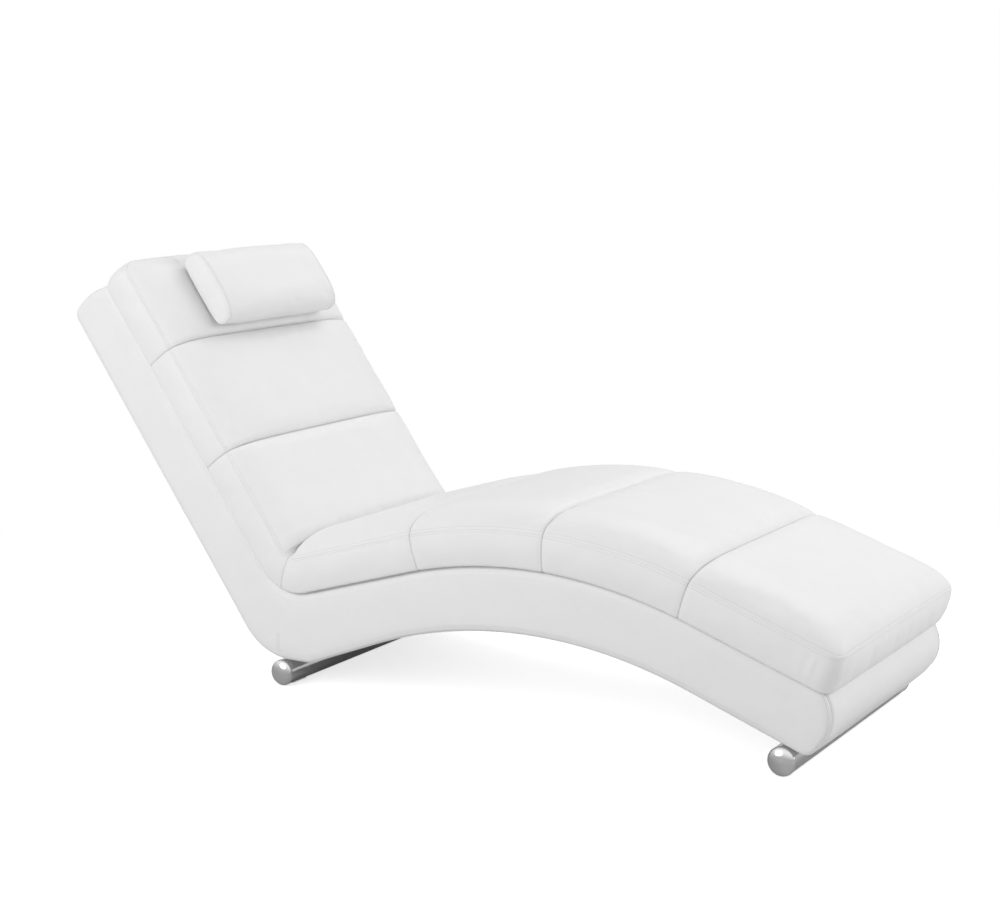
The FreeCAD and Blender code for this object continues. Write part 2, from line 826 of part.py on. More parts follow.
def pillow_section(y, share, inset=0.0):
    """One cross-section of the pillow: flat back, round top and bottom, bowed front."""
    thick = pillow_thickness * share - 2 * inset
    tall = pillow_height - (1 - share) * pillow_thickness - 2 * inset
    low = pillow_start + (pillow_height - tall) / 2
    base = pillow_seat + inset
    turn = thick * pillow_round_share
    diagonal = turn * (1 - math.sqrt(1 / 2))
    front = thick - pillow_bow_share * turn
    corners = [
        ((low + tall - turn, 0), (low + tall - diagonal, diagonal), (low + tall, turn)),
        ((low + tall, turn), (low + tall - diagonal, front - diagonal), (low + tall - turn, front)),
        ((low + tall - turn, front), (low + tall / 2, thick), (low + turn, front)),
        ((low + turn, front), (low + diagonal, front - diagonal), (low, turn)),
        ((low, turn), (low + diagonal, diagonal), (low + turn, 0)),
    ]
    outline = [corners[0][0]]
    for corner in corners:
        outline += chords(*corner, pillow_steps)
    ring = [side_vector(deck.at(s, base + h), y) for s, h in outline]
    return Part.makePolygon(ring + ring[:1])


def make_headrest():
    """Neck pillow on its flap, with the counterweight that balances it behind the back."""
    bodies = {}
    flap = flap_chain()
    bodies["flap"] = flap.strip(0.0, flap.length, -flap_thickness, 0.0, *across(half_flap))
    half = pillow_length / 2 - pillow_end_length
    spread = [(half * place, full) for place, full in zip(pillow_place_shares, pillow_full_shares)]
    outer = Part.makeLoft([pillow_section(*spot) for spot in spread], True, True)
    inner = Part.makeLoft([pillow_section(*spot, pillow_wall) for spot in spread], True, True)
    bodies["pillow_cover"] = outer.cut(inner)
    bodies["pillow_foam"] = inner
    end = Part.makeLoft([
        pillow_section(half, pillow_end_share),
        pillow_section(half + pillow_end_length, pillow_end_share, pillow_end_draw),
    ], True, True)
    bodies["pillow_ends"] = Part.makeCompound([end, mirrored(end)])
    back_top = body.corner_places[BACK_HEAD][0]
    tail_low = flap_thickness + 2 * soft_gap
    tail_high = tail_low + flap_thickness
    tail_top = back_top - tail_start
    tail_bottom = tail_top - tail_length
    bodies["counterweight_tail"] = body.strip(
        tail_bottom, tail_top, tail_low, tail_high, *across(half_flap))
    pouch_top = tail_bottom + pouch_height
    pouch_outside = tail_high + pouch_thickness
    pouch = body.strip(tail_bottom, pouch_top, tail_high, pouch_outside, *across(half_flap))
    pouch = pouch.makeFillet(pouch_round, cross_edges(pouch))
    bar_margin = (pouch_height - bar_height) / 2
    bar = body.strip(
        tail_bottom + bar_margin, pouch_top - bar_margin,
        tail_high + pouch_wall, pouch_outside - pouch_wall, *across(bar_length / 2))
    bodies["counterweight_pouch"] = pouch.cut(bar)
    bodies["counterweight_bar"] = bar
    return bodies


def main():
    """Build every piece, set the origin under the middle of the part and write the files."""
    os.makedirs("parts", exist_ok=True)
    bodies = {}
    makers = (make_body_covers, make_wadding, make_frame, make_webbing, make_feet, make_mat)
    for maker in (*makers, make_headrest):
        bodies.update(maker())
    whole = Part.makeCompound(list(bodies.values())).optimalBoundingBox(False, False)
    shift = FreeCAD.Vector(-(whole.XMin + whole.XMax) / 2, 0, 0)
    for name, shape in bodies.items():
        shape = shape.copy()
        shape.translate(shift)
        shape.exportStep(os.path.join("parts", name + ".step"))
    print(f"pieces {len(bodies)}, rear tube at x {shift.x:.3f}, pillow travel {pillow_travel:.0f}")
    print(f"length {whole.XLength:.1f}, width {whole.YLength:.1f}, height {whole.ZMax:.1f}")


main()
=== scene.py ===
import json
import logging
import math
from dataclasses import dataclass, field
from enum import Enum, IntEnum
from typing import Any, Callable, Iterable, NamedTuple, Optional, Sequence

import bmesh
import bpy
from bmesh.types import BMesh
from bpy.types import Material, Node, NodeSocket, NodeTree, Object
from mathutils import Matrix, Vector, noise
from mathutils.bvhtree import BVHTree


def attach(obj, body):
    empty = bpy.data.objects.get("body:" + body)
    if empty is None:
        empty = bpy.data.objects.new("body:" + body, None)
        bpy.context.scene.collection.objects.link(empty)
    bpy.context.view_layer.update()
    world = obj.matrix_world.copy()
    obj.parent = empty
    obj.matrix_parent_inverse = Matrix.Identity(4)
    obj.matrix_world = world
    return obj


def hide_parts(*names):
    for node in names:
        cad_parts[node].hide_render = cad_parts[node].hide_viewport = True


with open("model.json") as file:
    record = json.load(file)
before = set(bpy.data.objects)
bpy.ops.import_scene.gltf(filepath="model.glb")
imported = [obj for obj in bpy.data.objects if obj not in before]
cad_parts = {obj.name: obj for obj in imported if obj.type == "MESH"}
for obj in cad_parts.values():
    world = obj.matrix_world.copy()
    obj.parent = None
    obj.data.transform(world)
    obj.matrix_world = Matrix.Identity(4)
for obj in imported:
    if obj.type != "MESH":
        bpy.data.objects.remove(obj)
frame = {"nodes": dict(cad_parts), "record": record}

LOG = logging.getLogger("lounger")
Pair = tuple[float, float]
Point = Pair
Triple = tuple[float, float, float]
Colour = tuple[float, float, float, float]
MM = 0.001
TINY = 1e-6
SPECK = 1e-9
ARC_TURN = 0.16  # the most that a line turns between two places on an arc, in radians


class Side(Enum):
    """The two sides of the lounger, as the sign of Y."""

    LEFT = 1
    RIGHT = -1


class SeamKind(Enum):
    """How the mat is sewn where two panels meet, or where it ends."""

    PLAIN = "plain"
    CREASE = "crease"
    EDGE = "edge"


class Corner(IntEnum):
    """The corners of the body's outline, and of the deck line, by their number in Stance.lines."""

    DECK_HEAD = 0
    CREASE = 1
    DECK_FOOT = 3
    TOE = 5
    HEEL = 8
    BACK_HEAD = 9


class Arc(NamedTuple):
    """Where a corner's arc starts, passes its middle and ends, as places along the line."""

    start: float
    middle: float
    end: float


def at_low(share: float) -> bool:
    """Whether a share from 0 to 1 is at 0."""
    return share < TINY


def at_high(share: float) -> bool:
    """Whether a share from 0 to 1 is at 1."""
    return share > 1 - TINY


def at_end(share: float) -> bool:
    """Whether a share from 0 to 1 is at one of its ends."""
    return at_low(share) or at_high(share)


def moved(point: Point, angle: float, length: float) -> Point:
    """A side-view point moved by a length along an angle."""
    return point[0] + length * math.cos(angle), point[1] + length * math.sin(angle)


def mix(low: float, high: float, share: float) -> float:
    """The value at a share of the way between two others."""
    return low + (high - low) * share


def clamp(value: float, low: float = 0.0, high: float = 1.0) -> float:
    """A value kept within two limits."""
    return max(low, min(high, value))


def rounded(share: float) -> float:
    """A quarter-round rise from 0 to 1 that starts steep and ends flat."""
    return math.sqrt(max(0.0, 1 - (1 - clamp(share)) ** 2))


class SideLine:
    """Straight stretches joined by arcs, seen from the side, as the frame's source lays them."""

    def __init__(self, corners: Sequence[Point], radii: Sequence[float],
                 closed: bool = False) -> None:
        """Lay the line.

        Args:
            corners: The sharp corners in order.
            radii: The radius at each corner.
            closed: Whether the line comes back to its start.
        """
        count = len(corners)
        last = count if closed else count - 1
        ahead = [corners[(i + 1) % count] for i in range(last)]
        headings = [math.atan2(b[1] - a[1], b[0] - a[0]) for a, b in zip(corners, ahead)]
        self.closed = closed
        self.bits: list[tuple[float, float, Point, float, float]] = []
        self.corners: dict[int, Arc] = {}
        turns = {}
        for i in range(0 if closed else 1, last):
            turn = headings[i] - headings[i - 1]
            turns[i] = math.atan2(math.sin(turn), math.cos(turn))
        reach = {i: radii[i] * math.tan(abs(turn) / 2) for i, turn in turns.items()}
        place, point = 0.0, moved(corners[0], headings[0], reach.get(0, 0.0))
        for i in range(1, last + 1):
            corner = i % count
            run_end = moved(corners[corner], headings[i - 1], -reach.get(corner, 0.0))
            run = math.dist(point, run_end)
            self.bits.append((place, place + run, point, headings[i - 1], 0.0))
            place, point = place + run, run_end
            if corner in turns:
                run = radii[corner] * abs(turns[corner])
                bend = math.copysign(1 / radii[corner], turns[corner])
                self.bits.append((place, place + run, point, headings[i - 1], bend))
                self.corners[corner] = Arc(place, place + run / 2, place + run)
                place, point = place + run, moved(corners[corner], headings[corner], reach[corner])
        self.length = place

    def at(self, s: float, h: float = 0.0) -> Point:
        """The side-view point at a place along the line and a height on its left.

        Args:
            s: Place along the line in metres.
            h: Height square to the line in metres.

        Returns:
            The point's X and Z.
        """
        s = s % self.length if self.closed else s
        found = next((bit for bit in self.bits if s <= bit[1]), self.bits[-1])
        start, _, point, heading, bend = found
        if bend:
            centre = moved(point, heading + math.pi / 2, 1 / bend)
            heading += (s - start) * bend
            return moved(moved(centre, heading + math.pi / 2, -1 / bend), heading + math.pi / 2, h)
        return moved(moved(point, heading, s - start), heading + math.pi / 2, h)

    def place(self, s: float, y: float, h: float) -> Vector:
        """The 3-D point at a place along the line, across the width and over the line."""
        x, z = self.at(s, h)
        return Vector((x, y, z))

    def outward(self, s: float, rise: float = 0.02) -> Vector:
        """The way out of the line at a place."""
        return self.place(s, 0.0, rise) - self.place(s, 0.0, 0.0)

    def around(self, start: float, end: float, step: float) -> list[float]:
        """Places along a stretch: close together on the arcs and every step on the straights.

        Args:
            start: The first place.
            end: The last place.
            step: The most between two places.

        Returns:
            The places in order, start and end included.
        """
        laps = (0.0, self.length) if self.closed else (0.0,)
        stops = [start]
        for lap in laps:
            for a, b, _, _, bend in self.bits:
                low, high = max(a + lap, start), min(b + lap, end)
                if high - low < TINY:
                    continue
                count = max(1, math.ceil((high - low) / step))
                if bend:
                    count = max(count, math.ceil((high - low) * abs(bend) / ARC_TURN))
                stops += [mix(low, high, (i + 1) / count) for i in range(count)]
        return stops


def crossing(a: Point, angle_a: float, b: Point, angle_b: float) -> Point:
    """Where two side-view lines cross, each given by a point and an angle."""
    ax, az, bx, bz = math.cos(angle_a), math.sin(angle_a), math.cos(angle_b), math.sin(angle_b)
    return moved(a, angle_a, ((b[0] - a[0]) * bz - (b[1] - a[1]) * bx) / (ax * bz - az * bx))


def beside(start: Point, end: Point, share: float, out: float) -> Point:
    """A corner beside the line from start to end, out on its left."""
    heading = math.atan2(end[1] - start[1], end[0] - start[0])
    return moved(moved(start, heading, share * math.dist(start, end)), heading + math.pi / 2, out)


@dataclass(frozen=True)
class Stance:
    """Sizes of the lounger's side view in metres, the same as in the frame's source."""

    rear_axis: Point = (-0.333363, 0.0265)
    front_axis: Point = (0.726637, 0.0265)
    back: float = math.radians(-55.0)
    seat: float = math.radians(15.7)
    leg: float = math.radians(-19.5)
    toe: float = math.radians(-20.0)
    arch: float = math.radians(20.5)
    runs: tuple[float, float, float] = (0.726, 0.617, 0.566)
    rounds: tuple[float, ...] = (
        0.014, 0.095, 0.950, 0.020, 0.070, 0.022, 0.950, 0.040, 0.130, 0.018, 0.120)
    crease: Point = (0.004, 0.1765)
    back_depth: float = 0.116
    back_drop: float = 0.006
    nose_bulge: Pair = (0.4, 0.035)
    head_bulge: Pair = (0.5, 0.011)
    heel_level: float = 0.0545
    heel_length: float = 0.069
    under_toe: float = 0.028
    toe_reach: float = 0.040
    half_body: float = 0.268
    half_mat: float = 0.2795

    def back_head(self) -> Point:
        """Find the sharp corner at the top of the body's back.

        Returns:
            The side-view point.
        """
        crease = (self.rear_axis[0] + self.crease[0], self.crease[1])
        head = moved(crease, self.back, -self.runs[0])
        low = moved(head, self.back - math.pi / 2, self.back_depth)
        return moved(low, self.back, -self.back_drop)

    def lines(self) -> tuple[SideLine, SideLine]:
        """Lay the two lines that everything else is placed by.

        Returns:
            The deck line under the mat, and the closed outline of the body.
        """
        shift = self.rear_axis[0]
        crease = (shift + self.crease[0], self.crease[1])
        head = moved(crease, self.back, -self.runs[0])
        knee = moved(crease, self.seat, self.runs[1])
        foot = moved(knee, self.leg, self.runs[2])
        back_head = self.back_head()
        drop = (back_head[1] - self.heel_level) / math.sin(-self.back)
        heel = moved(back_head, self.back, drop)
        heel_front = (shift + self.heel_length, self.heel_level)
        over_tube = moved(self.front_axis, self.toe + math.pi / 2, self.under_toe)
        toe = moved(over_tube, self.toe, self.toe_reach)
        arch = crossing(heel_front, self.arch, toe, self.toe)
        nose, top = beside(foot, toe, *self.nose_bulge), beside(back_head, head, *self.head_bulge)
        deck = SideLine([head, crease, knee, foot], [0, *self.rounds[1:3], 0])
        outline = [head, crease, knee, foot, nose, toe, arch, heel_front, heel, back_head, top]
        return deck, SideLine(outline, self.rounds, closed=True)


STANCE = Stance()
DECK, BODY = STANCE.lines()


# Shader helpers


class Shader:
    """A material's or a group's nodes, with short calls to add and join them."""

    def __init__(self, tree: NodeTree) -> None:
        """Start from an empty tree."""
        self.tree = tree
        self.tree.nodes.clear()

    def node(self, kind: str, values: Optional[dict[Any, Any]] = None,
             **options: Any) -> Node:
        """Add a node.

        Args:
            kind: The node's type name.
            values: Socket names or numbers with a value, or with the socket that feeds them.
            options: The node's own settings.

        Returns:
            The new node.
        """
        made = self.tree.nodes.new(kind)
        for name, option in options.items():
            setattr(made, name, option)
        for socket, value in (values or {}).items():
            if isinstance(value, NodeSocket):
                self.tree.links.new(value, made.inputs[socket])
            else:
                made.inputs[socket].default_value = value
        return made

    def maths(self, operation: str, *values: Any) -> NodeSocket:
        """The result of a Math node on one, two or three values or sockets."""
        return self.node("ShaderNodeMath", dict(enumerate(values)), operation=operation).outputs[0]

    def noise(self, place: NodeSocket, scale: Any, detail: float,
              roughness: float = 0.5) -> NodeSocket:
        """A noise over a place.

        Args:
            place: The socket that gives the place.
            scale: How fine it is, as a number or a socket.
            detail: How many finer noises are laid over it.
            roughness: How strong the finer ones are.

        Returns:
            Its value from 0 to 1.
        """
        return self.node("ShaderNodeTexNoise", {
            "Vector": place, "Scale": scale, "Detail": detail, "Roughness": roughness}).outputs[0]

    def effect(self, group: NodeTree, place: NodeSocket,
               scale: Optional[float] = None) -> Node:
        """Use a shared group.

        Args:
            group: The group.
            place: The socket that gives the place.
            scale: How fine it is, where the group's own scale isn't wanted.

        Returns:
            The group's node.
        """
        made = self.node("ShaderNodeGroup", node_tree=group)
        self.tree.links.new(place, made.inputs["Place"])
        if scale is not None:
            made.inputs["Scale"].default_value = scale
        return made

    def bump(self, height: NodeSocket, depth: float, strength: float,
             **more: NodeSocket) -> NodeSocket:
        """A bump.

        Args:
            height: The socket that gives the height.
            depth: How far the full height stands out, in metres.
            strength: How much of it is used.
            more: The normal that it is laid over, if any, as Normal.

        Returns:
            The bumped normal.
        """
        return self.node("ShaderNodeBump", {
            "Height": height, "Distance": depth, "Strength": strength, **more}).outputs[0]

    def ramp(self, factor: NodeSocket, low: tuple[float, Colour],
             high: tuple[float, Colour]) -> NodeSocket:
        """A ramp between two colours.

        Args:
            factor: What picks the colour.
            low: The position and the colour of its lower stop.
            high: The same of its upper stop.

        Returns:
            The colour.
        """
        made = self.node("ShaderNodeValToRGB", {0: factor})
        for element, (position, colour) in zip(made.color_ramp.elements, (low, high)):
            element.position, element.color = position, colour
        return made.outputs[0]


def shader_group(name: str, scale: float, output: str,
                 build: Callable[..., NodeSocket]) -> NodeTree:
    """Build a node group that puts out a value which changes over the surface.

    Args:
        name: The group's name.
        scale: What its Scale input is when nothing else is asked.
        output: The name of its output.
        build: Lays the nodes for a shader, a place and a scale, and returns the output's socket.

    Returns:
        The group.
    """
    tree = bpy.data.node_groups.new(name, "ShaderNodeTree")
    sockets = tree.interface
    sockets.new_socket("Place", in_out="INPUT", socket_type="NodeSocketVector")
    sockets.new_socket("Scale", in_out="INPUT", socket_type="NodeSocketFloat").default_value = scale
    sockets.new_socket(output, in_out="OUTPUT", socket_type="NodeSocketFloat")
    shader = Shader(tree)
    entry, leave = shader.node("NodeGroupInput"), shader.node("NodeGroupOutput")
    value = build(shader, entry.outputs["Place"], entry.outputs["Scale"])
    tree.links.new(value, leave.inputs[output])
    return tree


PEBBLE_CREASES = 0.35  # how coarse the creases are against the cells
PEBBLE_EDGE = 0.35  # how far in from its edge a cell rises
PEBBLE_SHARE = 0.6  # how much the creases add to the cells


def pebble(shader: Shader, place: NodeSocket,
           scale: NodeSocket) -> NodeSocket:
    """Small rounded cells with fine creases, as in corrected leather.

    Args:
        shader: The group's nodes.
        place: Where on the surface it is.
        scale: How fine the cells are.

    Returns:
        The height.
    """
    cells = shader.node("ShaderNodeTexVoronoi", {"Vector": place, "Scale": scale},
                        feature="DISTANCE_TO_EDGE")
    coarse = shader.maths("MULTIPLY", scale, PEBBLE_CREASES)
    creases = shader.noise(place, coarse, detail=3.0, roughness=0.6)
    edge = shader.maths("MINIMUM", cells.outputs[0], PEBBLE_EDGE)
    return shader.maths("MULTIPLY_ADD", creases, PEBBLE_SHARE, edge)


def soft_wave(shader: Shader, place: NodeSocket,
              scale: NodeSocket) -> NodeSocket:
    """Low, broad unevenness of padding under a cover, as a height."""
    return shader.noise(place, scale, detail=2.0, roughness=0.45)


def light_wear(shader: Shader, place: NodeSocket,
               scale: NodeSocket) -> NodeSocket:
    """Soft patches and faint rubbed spots, as a mask."""
    spots = shader.noise(place, scale, detail=5.0, roughness=0.65)
    return shader.maths("SMOOTH_MIN", shader.maths("MULTIPLY", spots, 1.2), 1.0, 0.2)


class Effects:
    """The shader groups that several finishes share."""

    def __init__(self) -> None:
        """Build each group once."""
        self.pebble = shader_group("pebble_grain", 900.0, "Height", pebble)
        self.soft = shader_group("soft_wave", 9.0, "Height", soft_wave)
        self.wear = shader_group("light_wear", 40.0, "Mask", light_wear)


def start_material(name: str) -> tuple[Material, Shader, NodeSocket]:
    """Start a material.

    Args:
        name: Its name.

    Returns:
        The material, its shader and the socket with the object's own coordinates.
    """
    material = bpy.data.materials.new(name)
    material.use_nodes = True
    shader = Shader(material.node_tree)
    return material, shader, shader.node("ShaderNodeTexCoord").outputs["Object"]


def finish_material(shader: Shader, principled: dict[str, Any]) -> None:
    """Join a Principled shader to the material's output."""
    surface = shader.node("ShaderNodeBsdfPrincipled", principled)
    shader.node("ShaderNodeOutputMaterial", {"Surface": surface.outputs[0]})


def grey(level: float, warmth: float = 0.0) -> Colour:
    """A near-neutral colour, a little warm where warmth is over 0."""
    return level, level * (1 - warmth / 2), level * (1 - warmth), 1.0


@dataclass(frozen=True)
class LeatherFinish:
    """White upholstery leather with a fine pebble grain."""

    name: str = "white_leather"
    level: float = 0.87
    tint: float = 0.002
    grain_scale: float = 850.0
    grain_depth: float = 0.00016
    wave_scale: float = 7.0
    wave_depth: float = 0.0011
    wear_scale: float = 14.0
    roughness: float = 0.41
    specular: float = 0.36
    coat: float = 0.03
    coat_roughness: float = 0.4
    worn_level: float = 0.975  # how bright the worn patches are against the rest
    worn_stops: Pair = (0.25, 0.75)
    worn_roughness: float = 0.10
    grain_shade: Pair = (0.06, 0.95)  # painted shade: the colour darkens where the grain sits low, in its creases; its gain and its floor
    grain_strength: float = 0.8

    def build(self, effects: Effects) -> Material:
        """Lay the leather's nodes.

        Args:
            effects: The shared shader groups.

        Returns:
            The material.
        """
        material, shader, place = start_material(self.name)
        grain = shader.effect(effects.pebble, place, self.grain_scale).outputs["Height"]
        wave = shader.effect(effects.soft, place, self.wave_scale).outputs["Height"]
        wear = shader.effect(effects.wear, place, self.wear_scale).outputs["Mask"]
        worn = grey(self.level * self.worn_level, self.tint * 2)
        colour = shader.ramp(wear, (self.worn_stops[0], worn),
                             (self.worn_stops[1], grey(self.level, self.tint)))
        # painted shade: the leather's colour is darkened where the grain's height is low, in its
        # creases
        dark = shader.maths("MULTIPLY_ADD", grain, *self.grain_shade)
        shaded = shader.node("ShaderNodeMix", {0: 1.0, 6: colour, 7: dark},
                             data_type="RGBA", blend_type="MULTIPLY")
        low = shader.bump(wave, self.wave_depth, 1.0)
        finish_material(shader, {
            "Base Color": shaded.outputs[2],
            "Roughness": shader.maths("MULTIPLY_ADD", wear, self.worn_roughness, self.roughness),
            "Normal": shader.bump(grain, self.grain_depth, self.grain_strength, Normal=low),
            "Specular IOR Level": self.specular, "Coat Weight": self.coat,
            "Coat Roughness": self.coat_roughness})
        return material


@dataclass(frozen=True)
class MetalFinish:
    """Polished, satin or painted metal with faint rubbing marks."""

    name: str
    level: float
    roughness: float
    scratch: float = 0.00002
    wear_scale: float = 60.0
    brushed: Triple = (900.0, 30.0, 900.0)
    strength: float = 0.5
    worn_level: float = 0.96
    worn_stops: Pair = (0.2, 0.8)
    worn_roughness: float = 0.06

    def build(self, effects: Effects) -> Material:
        """Lay the metal's nodes.

        Args:
            effects: The shared shader groups.

        Returns:
            The material.
        """
        material, shader, place = start_material(self.name)
        wear = shader.effect(effects.wear, place, self.wear_scale).outputs["Mask"]
        drawn = shader.node("ShaderNodeMapping", {"Vector": place, "Scale": self.brushed})
        lines = shader.noise(drawn.outputs[0], 1.0, detail=2.0)
        colour = shader.ramp(wear, (self.worn_stops[0], grey(self.level * self.worn_level)),
                             (self.worn_stops[1], grey(self.level)))
        finish_material(shader, {
            "Base Color": colour,
            "Metallic": 1.0,
            "Roughness": shader.maths("MULTIPLY_ADD", wear, self.worn_roughness, self.roughness),
            "Normal": shader.bump(lines, self.scratch, self.strength)})
        return material


@dataclass(frozen=True)
class GrainFinish:
    """Timber, foam, fabric or moulded plastic: two colours over a stretched noise."""

    name: str
    dark: Colour
    light: Colour
    stretch: Triple
    depth: float
    roughness: float
    alpha: float = 1.0
    strength: float = 0.7
    stops: Pair = (0.3, 0.7)
    worn_roughness: float = 0.12

    def build(self, effects: Effects) -> Material:
        """Lay the finish's nodes.

        Args:
            effects: The shared shader groups.

        Returns:
            The material.
        """
        material, shader, place = start_material(self.name)
        spread = shader.node("ShaderNodeMapping", {"Vector": place, "Scale": self.stretch})
        grain = shader.noise(spread.outputs[0], 1.0, detail=6.0, roughness=0.6)
        wear = shader.effect(effects.wear, place).outputs["Mask"]
        finish_material(shader, {
            "Base Color": shader.ramp(grain, (self.stops[0], self.dark),
                                      (self.stops[1], self.light)),
            "Roughness": shader.maths("MULTIPLY_ADD", wear, self.worn_roughness, self.roughness),
            "Normal": shader.bump(grain, self.depth, self.strength), "Alpha": self.alpha})
        return material


WAVE_UNIT = 20  # the radians that a Wave Texture node runs through in one unit of its scale


@dataclass(frozen=True)
class WeaveFinish:
    """Plain woven webbing or lining: two crossed waves."""

    name: str
    dark: Colour
    light: Colour
    pitch: float
    depth: float
    roughness: float = 0.85
    distortion: float = 0.4
    strength: float = 0.8
    stops: Pair = (0.1, 0.8)
    worn_roughness: float = 0.08

    def build(self, effects: Effects) -> Material:
        """Lay the weave's nodes.

        Args:
            effects: The shared shader groups.

        Returns:
            The material.
        """
        material, shader, place = start_material(self.name)
        values = {"Vector": place, "Scale": 2 * math.pi / self.pitch / WAVE_UNIT,
                  "Distortion": self.distortion}
        waves = [shader.node("ShaderNodeTexWave", values, bands_direction=axis).outputs["Fac"]
                 for axis in ("Y", "DIAGONAL")]
        weave = shader.maths("MULTIPLY", *waves)
        wear = shader.effect(effects.wear, place).outputs["Mask"]
        finish_material(shader, {
            "Base Color": shader.ramp(weave, (self.stops[0], self.dark),
                                      (self.stops[1], self.light)),
            "Roughness": shader.maths("MULTIPLY_ADD", wear, self.worn_roughness, self.roughness),
            "Normal": shader.bump(weave, self.depth, self.strength)})
        return material


def even(scale: float) -> Triple:
    """The same scale along X, Y and Z."""
    return scale, scale, scale


class Finishes:
    """Every finish on the lounger, built once. Each has the name of its slot in the frame."""

    def __init__(self) -> None:
        """Build the finishes."""
        effects = Effects()
        rows = {
            "leather": LeatherFinish(),
            "thread": GrainFinish("white_thread", grey(0.58), grey(0.74), even(2500.0),
                                  0.0001, 0.6),
            "chrome": MetalFinish("polished_chrome", 0.72, 0.05),
            "cap": MetalFinish("cap_chrome", 0.70, 0.09),
            "zinc": MetalFinish("zinc_plated", 0.62, 0.32, 0.00006),
            "weight": MetalFinish("weight_bar", 0.30, 0.48, 0.00008),
            "timber": GrainFinish("birch_ply", (0.50, 0.33, 0.18, 1), (0.72, 0.54, 0.34, 1),
                                  (6.0, 160.0, 160.0), 0.0002, 0.62),
            "foam": GrainFinish("cut_foam", (0.80, 0.74, 0.52, 1), (0.90, 0.85, 0.66, 1),
                                even(500.0), 0.0004, 0.9),
            "saddle": GrainFinish("moulded_saddle", grey(0.012), grey(0.03), even(1200.0),
                                  0.00008, 0.5),
            "glide": GrainFinish("clear_glide", grey(0.70), grey(0.82), even(300.0), 0.00005, 0.2,
                                 alpha=0.55),
            "grip": GrainFinish("grip_rubber", grey(0.03), grey(0.06), even(700.0), 0.0003, 0.8),
            "webbing": WeaveFinish("elastic_webbing", grey(0.02), grey(0.07), 0.0016, 0.0003),
            "lining": WeaveFinish("woven_lining", grey(0.50, 0.02), grey(0.68, 0.02),
                                  0.0009, 0.0001),
        }
        self.by_slot = {slot: finish.build(effects) for slot, finish in rows.items()}
        self.leather, self.thread = self.by_slot["leather"], self.by_slot["thread"]


# Mesh helpers


def divided_box(cuts: tuple[int, int, int]) -> BMesh:
    """A unit box from 0 to 1 whose faces are divided along X, Y and Z.

    Args:
        cuts: How many cuts each edge along X, Y and Z gets.

    Returns:
        The box as a bmesh.
    """
    bm = bmesh.new()
    bmesh.ops.create_cube(bm, size=1.0, matrix=Matrix.Translation((0.5, 0.5, 0.5)))
    for axis, count in enumerate(cuts):
        edges = [e for e in bm.edges if abs((e.verts[1].co - e.verts[0].co)[axis]) > TINY]
        bmesh.ops.subdivide_edges(bm, edges=edges, cuts=count, use_grid_fill=True)
    bm.verts.index_update()
    return bm


def divided_sheet(columns: int, rows: int) -> BMesh:
    """A flat unit sheet from 0 to 1 in X and Y.

    Args:
        columns: How many parts it has along X.
        rows: How many it has along Y.

    Returns:
        The sheet as a bmesh.
    """
    bm = bmesh.new()
    bmesh.ops.create_grid(bm, x_segments=columns, y_segments=rows, size=0.5,
                          matrix=Matrix.Translation((0.5, 0.5, 0.0)))
    bm.verts.index_update()
    return bm


def shaped(bm: BMesh, shape: Callable[[Vector], Vector]) -> BMesh:
    """Move every vertex of a bmesh.

    Args:
        bm: The bmesh.
        shape: Where a point goes.

    Returns:
        The same bmesh.
    """
    for vert in bm.verts:
        vert.co = shape(vert.co.copy())
    return bm


def finished(bm: BMesh, name: str, material: Material,
             outward: bool = True) -> Object:
    """Turn a bmesh into a smooth object at the origin.

    Args:
        bm: The bmesh, which is freed.
        name: The object's name.
        material: Its finish.
        outward: Whether its normals are worked out again, on a closed shape.

    Returns:
        The object.
    """
    if outward:
        bmesh.ops.recalc_face_normals(bm, faces=bm.faces)
    for face in bm.faces:
        face.smooth = True
    mesh = bpy.data.meshes.new(name)
    bm.to_mesh(mesh)
    bm.free()
    mesh.materials.append(material)
    made = bpy.data.objects.new(name, mesh)
    bpy.context.scene.collection.objects.link(made)
    return made


def turned_towards(bm: BMesh, outward: Callable[[Vector], Vector],
                   whole: bool = False) -> None:
    """Turn an open surface so that its faces point outward.

    Args:
        bm: The surface.
        outward: The outward direction near a point.
        whole: Whether the widest face is asked, and not the first one.
    """
    if not whole:
        bmesh.ops.recalc_face_normals(bm, faces=bm.faces)
        bm.faces.ensure_lookup_table()
    probe = max(bm.faces, key=lambda face: face.calc_area()) if whole else bm.faces[0]
    probe.normal_update()
    if probe.normal.dot(outward(probe.calc_center_median())) < 0:
        bmesh.ops.reverse_faces(bm, faces=bm.faces)


def pour(bm: BMesh, into: BMesh) -> None:
    """Add a bmesh to another one.

    Args:
        bm: The bmesh, which is freed.
        into: The one that takes it.
    """
    spare = bpy.data.meshes.new("spare")
    bm.to_mesh(spare)
    bm.free()
    into.from_mesh(spare)
    bpy.data.meshes.remove(spare)


def settle(piece: Object, body: str, slot: str, *nodes: str) -> None:
    """Say what a piece belongs to.

    Args:
        piece: The finished piece.
        body: The moving or fixed body that it rides on.
        slot: Its finish slot; not used.
        nodes: The frame solids that it stands for, if any.
    """
    if nodes:
        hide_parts(*nodes)
    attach(piece, body)


def laid_sheet(line: SideLine, places: Sequence[float], columns: int,
               section: Callable[[float, float], Pair]) -> BMesh:
    """A sheet that follows a line, with its faces out.

    Args:
        line: What it follows.
        places: The places of its rows along the line.
        columns: How many parts it has across the width.
        section: The place across the width and the height, for a place along the line and a
            share of the width from -1 to 1.

    Returns:
        The sheet as a bmesh.
    """
    last = len(places) - 1

    def shape(co: Vector) -> Vector:
        """Where a point of the unit sheet lies."""
        place = places[round(co.x * last)]
        return line.place(place, *section(place, 2 * co.y - 1))

    bm = shaped(divided_sheet(last, columns), shape)
    turned_towards(bm, lambda co: line.outward(places[0]))
    return bm


